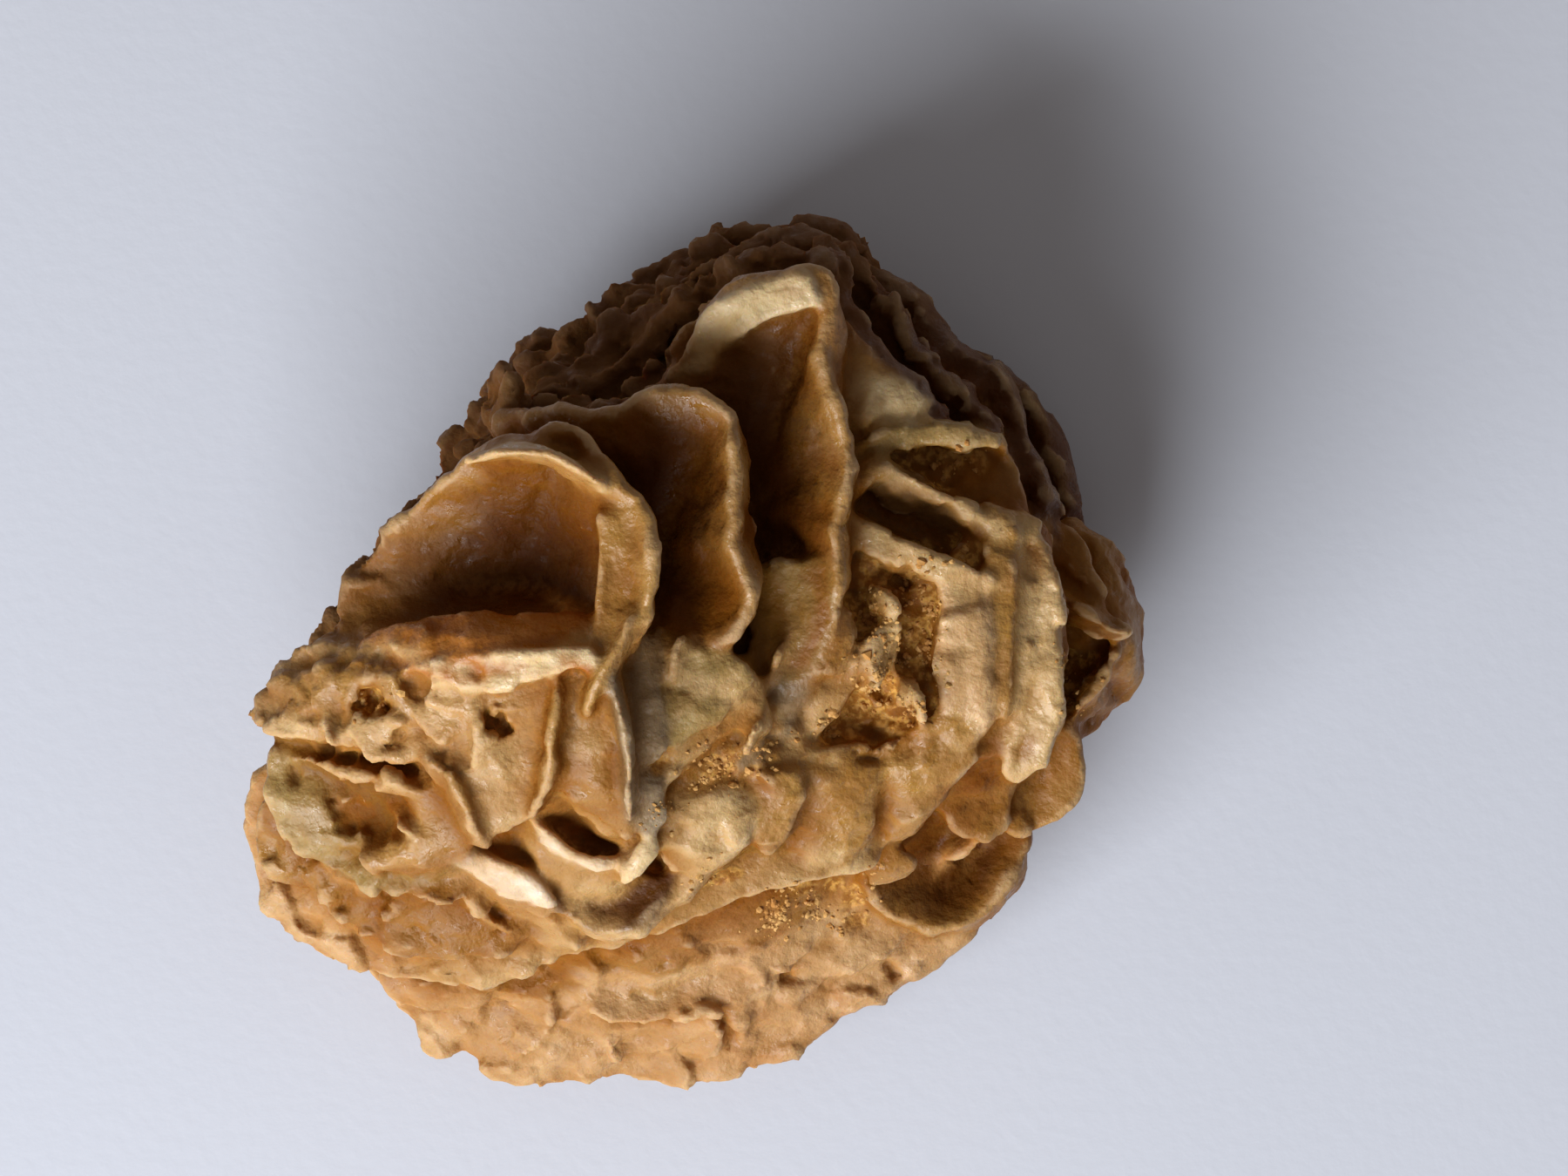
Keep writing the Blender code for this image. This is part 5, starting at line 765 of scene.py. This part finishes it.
def largest_island(mesh):
    """Remove every island of the skin but the largest."""
    edges = edge_pairs(mesh)
    label = np.arange(len(mesh.vertices))
    while True:
        low = np.minimum(label[edges[:, 0]], label[edges[:, 1]])
        new = label.copy()
        np.minimum.at(new, edges[:, 0], low)
        np.minimum.at(new, edges[:, 1], low)
        new = new[new]
        new = new[new]
        if np.array_equal(new, label):
            break
        label = new
    keep = np.bincount(label).argmax()
    lost = np.flatnonzero(label != keep)
    if len(lost) == 0:
        return mesh
    bm = bmesh.new()
    bm.from_mesh(mesh)
    bm.verts.ensure_lookup_table()
    bmesh.ops.delete(bm, geom=[bm.verts[int(index)] for index in lost], context="VERTS")
    bm.to_mesh(mesh)
    bm.free()
    return mesh


def fractal(points, scale, octaves, offset=0.0):
    """Fractal noise of about -1 to 1, scale in millimetres per feature."""
    shift = Vector((offset, offset * 0.7, -offset))
    return np.array([noise.fractal(Vector(p) / scale + shift, 0.8, 2.1, octaves) for p in points])


def distance_squared(points, x, y, half_x, half_y):
    """Seen from above, 0 in the middle of a patch and 1 on its edge."""
    return ((points[:, 0] - x) / half_x) ** 2 + ((points[:, 1] - y) / half_y) ** 2


def roughness_share(points):
    """How broken the surface is, 0 on the smooth petals and 1 on the flank."""
    share = flank_share(points)
    for x, y, half_x, half_y, amount in ROUGH:
        far = distance_squared(points, x, y, half_x, half_y)
        share = np.maximum(share, amount * np.clip(1.5 - far, 0, 1))
    return share


def flank_share(points):
    """1 on the rough upper-left flank, 0 on the blades."""
    share = np.clip((-points[:, 0] * 0.55 + points[:, 1] * 0.85 - 12) / 10, 0, 1)
    return share * np.clip((38 - points[:, 2]) / 8, 0, 1)


def carve_pits(points, facing):
    """Push the points inside each pit straight down."""
    for x, y, lowest, half_x, half_y, depth, turn in PITS:
        turn = radians(turn)
        stray = np.array([noise.noise_vector(Vector(p) / 1.1) for p in points]) * 1.3
        dx = points[:, 0] - x + stray[:, 0]
        dy = points[:, 1] - y + stray[:, 1]
        u = (dx * cos(turn) + dy * sin(turn)) / half_x
        v = (dy * cos(turn) - dx * sin(turn)) / half_y
        inside = np.clip(1 - (u * u + v * v) ** 1.5, 0, 1)
        use = (points[:, 2] > lowest) & (facing[:, 2] > 0.0)
        points[:, 2] -= depth * np.sqrt(inside) * use
    return points


def remeshed(mesh):
    """One even skin over the mesh, without its loose islands."""
    return largest_island(with_modifier(mesh, "REMESH", mode="VOXEL", voxel_size=VOXEL))


def build_skin():
    """The fine skin of the rose with its colour attributes."""
    shells, shell_points, shell_tones, shell_shares = crystal_mesh()
    mesh = remeshed(shells)

    # close the cracks narrower than twice CRACK: grow, remesh, shrink
    move_points(mesh, coordinates(mesh) + normals(mesh) * CRACK)
    mesh = remeshed(mesh)
    move_points(mesh, coordinates(mesh) - normals(mesh) * CRACK)

    # broad lumps and pits, then a second remesh that evens out the stretched faces
    points = coordinates(mesh)
    facing = normals(mesh)
    flank = flank_share(points)
    broken = roughness_share(points)
    lumps = fractal(points, LUMP_SIZE, 4) * (0.2 + 0.35 * flank)
    lumps += facets(points, BROAD_FACET, 0.0) * (0.12 + 0.45 * broken)
    points += facing * lumps[:, None]
    points = carve_pits(points, facing)
    move_points(mesh, points)
    mesh = remeshed(mesh)

    # which shell each point came from
    points = coordinates(mesh)
    tree = kdtree.KDTree(len(shell_points))
    for index, point in enumerate(shell_points):
        tree.insert(point, index)
    tree.balance()
    nearest = np.array([tree.find(point)[1] for point in points])
    tone = shell_tones[nearest]
    share = shell_shares[nearest]
    edges = edge_pairs(mesh)
    facing = normals(mesh)

    # growth steps along the blades, grain, and rough sandy flank
    rough = flank_share(points)
    broken = roughness_share(points)
    warp = fractal(points, 5.0, 3, 11.0)
    steps = np.sin(share * GROWTH_STEPS + warp * 7)
    steps = averaged(steps * (share > 0.05), edges, 0.4)[:, 0]
    grain = fractal(points, GRAIN_SIZE, 4, 3.0)
    crumbs = fractal(points, CRUMB_SIZE, 3, 17.0)
    sandy = sand_cover(points, edges, facing)
    lift = 0.03 * steps + (0.07 + 0.16 * broken) * grain + 0.45 * sandy * np.maximum(crumbs, -0.2)
    lift += facets(points, FINE_FACET, 13.0) * (0.12 + 0.33 * broken)
    crisp = ((points - averaged(points, edges, CRISP_REACH)) * facing).sum(axis=1)
    lift += CRISP * np.clip(crisp, -CRISP_LIMIT, CRISP_LIMIT)
    points += facing * lift[:, None]
    points[:, 2] = np.maximum(points[:, 2], 0)
    move_points(mesh, points)

    colour_skin(mesh, tone, rough, sandy)
    if len(mesh.polygons) * 2 > SKIN_FACES:
        mesh = with_modifier(mesh, "DECIMATE", ratio=SKIN_FACES / (len(mesh.polygons) * 2))
    return mesh


def sand_cover(points, edges, facing):
    """How much trapped sand covers each point: the hollow places inside the sand patches."""
    smooth = averaged(points, edges, 2.2)
    hollow = np.clip(-((points - smooth) * facing).sum(axis=1) / 0.8 + 0.25, 0, 1)
    patch = np.zeros(len(points))
    for x, y, half_x, half_y, _count in SAND:
        far = distance_squared(points, x, y, half_x, half_y)
        patch = np.maximum(patch, np.clip(1.6 - far, 0, 1))
    broken = np.clip(fractal(points, 2.6, 3, 29.0) * 1.6 + 0.55, 0, 1)
    return patch * hollow * broken * np.clip(facing[:, 2] * 3, 0, 1)


def colour_skin(mesh, tone, rough, sandy):
    """Point attributes that the stone material reads."""
    points = coordinates(mesh)
    facing = normals(mesh)
    edges = edge_pairs(mesh)
    tone = averaged(tone, edges, 0.35)
    near = averaged(points, edges, 0.75)
    far = averaged(near, edges, 2.2)
    bulge_near = ((points - near) * facing).sum(axis=1)
    bulge_far = ((points - far) * facing).sum(axis=1)
    rim = np.clip(bulge_near / 0.28, 0, 1)
    hollow = np.clip(-bulge_far / 1.2, 0, 1)
    crest = np.clip(bulge_far / 1.4, 0, 1)

    tree = ray_tree(mesh)
    thin = np.zeros(len(points))
    shade = np.zeros(len(points))
    sky = sky_directions(10)
    for index, (point, normal) in enumerate(zip(points, facing)):
        start = Vector(point)
        normal = Vector(normal)
        hit = tree.ray_cast(start - normal * 0.05, -normal, 8.0)
        thin[index] = 1.0 if hit[3] is None else min(hit[3] / THICK, 1.0)
        blocked = 0
        for way in sky:
            if tree.ray_cast(start + normal * 0.15, way, 30.0)[3] is not None:
                blocked += 1
        shade[index] = blocked / len(sky)
    thin = averaged(1 - thin, edges, 0.6)[:, 0]
    shade = averaged(shade, edges, 0.6)[:, 0]

    store(mesh, "tone", np.concatenate([tone, np.ones((len(tone), 1))], axis=1))
    for name, values in (("rim", rim), ("hollow", hollow), ("crest", crest), ("thin", thin),
                         ("shade", shade), ("rough", rough), ("sandy", sandy)):
        store(mesh, name, values)


def sky_directions(count):
    """Directions spread evenly over the upper half of a sphere."""
    ways = []
    for index in range(count):
        z = (index + 0.5) / count
        turn = index * pi * (3 - 5 ** 0.5)
        flat = (1 - z * z) ** 0.5
        ways.append(Vector((cos(turn) * flat, sin(turn) * flat, z)))
    return ways


def store(mesh, name, values):
    if values.ndim == 2:
        layer = mesh.attributes.new(name, "FLOAT_COLOR", "POINT")
        layer.data.foreach_set("color", values.astype(np.float32).ravel())
    else:
        layer = mesh.attributes.new(name, "FLOAT", "POINT")
        layer.data.foreach_set("value", values.astype(np.float32))


# Materials: tints that multiply the tone, and colours that cover it, among them painted shade, a
# painted glow and painted highlights
MOTTLE_TINT = (0.84, 0.72, 0.48)
CLOUD_TINT = (0.78, 0.58, 0.34)
STREAK_TINT = (1.25, 1.38, 1.7)
PAINTED_SHADE_TINT = (0.60, 0.40, 0.18)
HOLLOW_DARK = (0.18, 0.07, 0.012)
PAINTED_GLOW_TONE = (0.56, 0.30, 0.08)
PAINTED_RIM_HIGHLIGHT = (0.70, 0.52, 0.30)
GRIT_DARK = (0.30, 0.12, 0.02)
GRIT_LIGHT = (0.58, 0.30, 0.07)
IOR = 1.52                               # of gypsum


class Nodes:
    """A short way to write a material's node tree."""

    def __init__(self, name):
        self.material = bpy.data.materials.new(name)
        self.material.use_nodes = True
        self.tree = self.material.node_tree
        self.shader = self.tree.nodes["Principled BSDF"]

    def add(self, kind, **settings):
        node = self.tree.nodes.new("ShaderNode" + kind)
        for name, value in settings.items():
            setattr(node, name, value)
        return node

    def feed(self, target, value):
        if isinstance(value, bpy.types.NodeSocket):
            self.tree.links.new(value, target)
        else:
            target.default_value = value

    def attribute(self, name, colour=False):
        node = self.add("Attribute", attribute_name=name)
        return node.outputs["Color" if colour else "Fac"]

    def noise(self, scale, detail=4.0, stretch=None, distortion=0.0):
        place = self.add("TexCoord").outputs["Object"]
        if stretch:
            mapping = self.add("Mapping")
            self.feed(mapping.inputs["Vector"], place)
            mapping.inputs["Scale"].default_value = stretch
            place = mapping.outputs["Vector"]
        node = self.add("TexNoise")
        self.feed(node.inputs["Vector"], place)
        node.inputs["Scale"].default_value = scale
        node.inputs["Detail"].default_value = detail
        node.inputs["Distortion"].default_value = distortion
        return node.outputs["Fac"]

    def math(self, kind, first, second=0.5, clamp=False):
        node = self.add("Math", operation=kind, use_clamp=clamp)
        self.feed(node.inputs[0], first)
        self.feed(node.inputs[1], second)
        return node.outputs[0]

    def band(self, value, low, high, to_low=0.0, to_high=1.0):
        node = self.add("MapRange", interpolation_type="SMOOTHSTEP")
        for socket, item in zip(node.inputs, (value, low, high, to_low, to_high)):
            self.feed(socket, item)
        return node.outputs[0]

    def mix(self, share, first, second, kind="MIX"):
        node = self.add("Mix", data_type="RGBA", blend_type=kind)
        self.feed(node.inputs[0], share)
        for socket, item in ((node.inputs[6], first), (node.inputs[7], second)):
            if isinstance(item, tuple):
                item = (*item, 1)
            self.feed(socket, item)
        return node.outputs[2]

    def bump(self, height, strength, distance, below=None):
        node = self.add("Bump")
        self.feed(node.inputs["Height"], height)
        node.inputs["Strength"].default_value = strength
        node.inputs["Distance"].default_value = distance
        if below:
            self.feed(node.inputs["Normal"], below)
        return node.outputs["Normal"]


def gypsum():
    """Waxy honey-brown gypsum: painted highlights on rims and crests, painted shade and a darker
    red-brown in the hollows, and a rust-brown sand stain on the flank that is darkened as painted
    shade.
    """
    n = Nodes("gypsum")
    mottle = n.noise(260, 5)
    fine = n.noise(1500, 4)
    cloud = n.noise(75, 4, distortion=0.6)
    streak = n.noise(300, 4, stretch=(1.0, 0.35, 2.4))
    rim = n.attribute("rim")
    hollow = n.attribute("hollow")
    crest = n.attribute("crest")
    shade = n.attribute("shade")
    rough = n.attribute("rough")

    colour = n.mix(n.band(mottle, 0.38, 0.70, 0.0, 0.6), n.attribute("tone", True),
                   MOTTLE_TINT, "MULTIPLY")
    colour = n.mix(n.band(cloud, 0.45, 0.75, 0.0, 0.6), colour, CLOUD_TINT, "MULTIPLY")
    colour = n.mix(n.band(streak, 0.48, 0.7, 0.0, 0.6), colour, STREAK_TINT, "MULTIPLY")
    # painted shade: the colour is darkened where much of the sky is hidden from the point
    painted_shade = n.band(shade, 0.10, 0.60, 0.0, 0.95)
    colour = n.mix(painted_shade, colour, PAINTED_SHADE_TINT, "MULTIPLY")
    # darker red-brown in the hollows, broken up by fine noise
    colour = n.mix(n.math("MULTIPLY", n.band(hollow, 0.2, 1.0), n.band(fine, 0.35, 0.6)),
                   colour, HOLLOW_DARK)
    # painted glow: thin stone that the sky reaches is painted a lighter orange, for light shining
    # through it
    painted_glow = n.math("MULTIPLY", n.attribute("thin"), n.band(shade, 0.3, 0.0))
    colour = n.mix(n.band(painted_glow, 0.5, 0.95, 0.0, 0.25), colour, PAINTED_GLOW_TONE)
    # painted highlight: pale lines along the sharp rims
    edge = n.math("MULTIPLY", n.band(rim, 0.5, 1.0, 0.0, 0.3), n.band(mottle, 0.4, 0.62, 0.1, 1.0))
    colour = n.mix(edge, colour, PAINTED_RIM_HIGHLIGHT)
    # painted highlight: the crests are lightened towards cream
    colour = n.mix(n.band(crest, 0.3, 1.0, 0.0, 0.3), colour, CREAM)
    # rust-brown sand stain on the rough places; its dark colour is partly painted shade of the flank
    rust_and_shade_share = n.math("MULTIPLY", rough, n.band(mottle, 0.3, 0.62, 0.5, 1.0))
    colour = n.mix(rust_and_shade_share, colour, RUST_AND_SHADE)
    grit = n.mix(n.band(fine, 0.4, 0.62), GRIT_DARK, GRIT_LIGHT)
    colour = n.mix(n.band(n.attribute("sandy"), 0.12, 0.5), colour, grit)
    n.feed(n.shader.inputs["Base Color"], colour)

    waxy = n.band(mottle, 0.35, 0.65, 0.34, 0.62)
    glint = n.band(n.noise(900, 3), 0.56, 0.64, 0.0, 0.28)
    dull = n.math("ADD", n.math("SUBTRACT", waxy, glint), n.math("MULTIPLY", rough, 0.3), clamp=True)
    n.feed(n.shader.inputs["Roughness"], dull)
    n.shader.inputs["Subsurface Weight"].default_value = 0.32
    n.shader.inputs["Subsurface Radius"].default_value = (1.0, 0.36, 0.08)
    n.shader.inputs["Subsurface Scale"].default_value = 1.1 * MM
    n.feed(n.shader.inputs["Specular IOR Level"], n.band(shade, 0.1, 0.6, 0.45, 0.06))
    n.shader.inputs["IOR"].default_value = IOR

    grain = n.bump(fine, 0.8, 0.2 * MM)
    grain = n.bump(n.noise(620, 5), 0.8, 0.4 * MM, grain)
    n.feed(n.shader.inputs["Normal"], grain)
    return n.material


def sand():
    """Ochre sand, each grain a little different."""
    n = Nodes("sand")
    fine = n.noise(1800, 3)
    patch = n.noise(420, 3)
    colour = n.mix(n.band(patch, 0.35, 0.65), (0.46, 0.20, 0.035), (0.60, 0.34, 0.10))
    colour = n.mix(n.band(fine, 0.5, 0.7, 0.0, 0.6), colour, (0.22, 0.09, 0.025))
    n.feed(n.shader.inputs["Base Color"], colour)
    n.feed(n.shader.inputs["Roughness"], n.band(fine, 0.3, 0.7, 0.6, 0.95))
    n.feed(n.shader.inputs["Normal"], n.bump(fine, 0.6, 0.08 * MM))
    return n.material


def paper():
    """A plain pale sheet with a faint weave."""
    n = Nodes("paper")
    fibre = n.noise(700, 4)
    tint = n.mix(n.band(n.noise(9, 2), 0.3, 0.7), (0.63, 0.65, 0.71), (0.65, 0.67, 0.73))
    n.feed(n.shader.inputs["Base Color"], tint)
    n.feed(n.shader.inputs["Roughness"], n.band(fibre, 0.3, 0.7, 0.8, 0.95))
    n.feed(n.shader.inputs["Normal"], n.bump(fibre, 0.25, 0.12 * MM))
    return n.material


def sand_grains(skin):
    """Angular grains caught in the hollows, joined into one mesh."""
    rng = np.random.default_rng(21)
    ball = bmesh.new()
    bmesh.ops.create_icosphere(ball, subdivisions=1, radius=1.0)
    shape = np.array([vert.co for vert in ball.verts])
    shape_faces = np.array([[vert.index for vert in face.verts] for face in ball.faces])
    ball.free()
    tree = ray_tree(skin)
    verts = []
    faces = []
    for x, y, half_x, half_y, count in SAND:
        for grain_number in range(count):
            if grain_number % 12 == 0:
                heap = rng.normal(0, 0.42, 2) * (half_x, half_y) + (x, y)
            spot = heap + rng.normal(0, 0.75, 2)
            hit, normal = tree.ray_cast(Vector((*spot, 80.0)), Vector((0, 0, -1)))[:2]
            if hit is None or normal.z < 0.25:
                continue
            size = 0.11 + 0.26 * rng.random() ** 2.4 + (0.2 if rng.random() < 0.05 else 0.0)
            squash = rng.uniform(0.7, 1.2, 3)
            lumps = 1 + rng.uniform(-0.25, 0.25, (len(shape), 1))
            spin = np.linalg.qr(rng.normal(size=(3, 3)))[0]
            if np.linalg.det(spin) < 0:
                spin[:, 0] *= -1
            grain = (shape * squash * lumps * size) @ spin.T
            faces.append(shape_faces + len(verts) * len(shape))
            verts.append(grain + np.array(hit) - np.array(normal) * size * 0.2)
    mesh = bpy.data.meshes.new("sand_grains")
    mesh.from_pydata((np.concatenate(verts) * MM).tolist(), [], np.concatenate(faces).tolist())
    return mesh


def add_object(name, mesh, material):
    obj = bpy.data.objects.new(name, mesh)
    bpy.context.scene.collection.objects.link(obj)
    mesh.materials.clear()
    mesh.materials.append(material)
    return obj


def aim(obj, place, target):
    obj.location = place
    obj.rotation_euler = (Vector(target) - Vector(place)).to_track_quat("-Z", "Y").to_euler()


def soft_light(name, place, target, size, watts, colour):
    lamp = bpy.data.lights.new(name, "AREA")
    lamp.shape = "RECTANGLE"
    lamp.size, lamp.size_y = size
    lamp.energy = watts
    lamp.color = colour
    obj = bpy.data.objects.new(name, lamp)
    bpy.context.scene.collection.objects.link(obj)
    aim(obj, place, target)
    return obj


def light_the_room():
    world = bpy.data.worlds.new("room")
    bpy.context.scene.world = world
    world.use_nodes = True
    shade = world.node_tree.nodes["Background"]
    shade.inputs["Color"].default_value = (1.0, 0.92, 0.88, 1)
    shade.inputs["Strength"].default_value = 0.19
    soft_light("window", place=(-0.40, -0.64, 0.49), target=(0.0, 0.0, 0.02), size=(0.90, 0.45),
               watts=14.5, colour=(0.92, 0.95, 1.0))


def place_camera(centre):
    camera = bpy.data.cameras.new("camera")
    camera.sensor_width = SENSOR
    camera.lens = SENSOR * (CAMERA_HEIGHT - SHARP_LEVEL) / VIEW_WIDTH
    camera.clip_start = 0.01
    obj = bpy.data.objects.new("camera", camera)
    bpy.context.scene.collection.objects.link(obj)
    obj.location = (centre[0] + CAMERA_SHIFT[0], centre[1] + CAMERA_SHIFT[1], CAMERA_HEIGHT)
    bpy.context.scene.camera = obj


def main():
    noise.seed_set(NOISE_SEED)
    skin = build_skin()
    lows = np.array(cad_box[0])
    highs = np.array(cad_box[1])
    middle = (lows + highs) / 2 / MM
    points = coordinates(skin)
    span = (points.min(axis=0) + points.max(axis=0)) / 2
    shift = np.array((middle[0] - span[0], middle[1] - span[1], 0.0))
    grains = sand_grains(skin)
    move_points(skin, (points + shift) * MM)
    move_points(grains, coordinates(grains) + shift * MM)

    rose = add_object("rose", skin, gypsum())
    skin.shade_smooth()
    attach(rose, "root")
    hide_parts("sand_rose")
    dust = add_object("sand_grains", grains, sand())
    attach(dust, "root")

    bpy.ops.mesh.primitive_plane_add(size=6)
    floor = bpy.context.object
    floor.name = "floor"
    floor.data.materials.append(paper())
    light_the_room()
    place_camera((0, 0))
    bpy.context.scene.view_settings.view_transform = "Standard"


main()
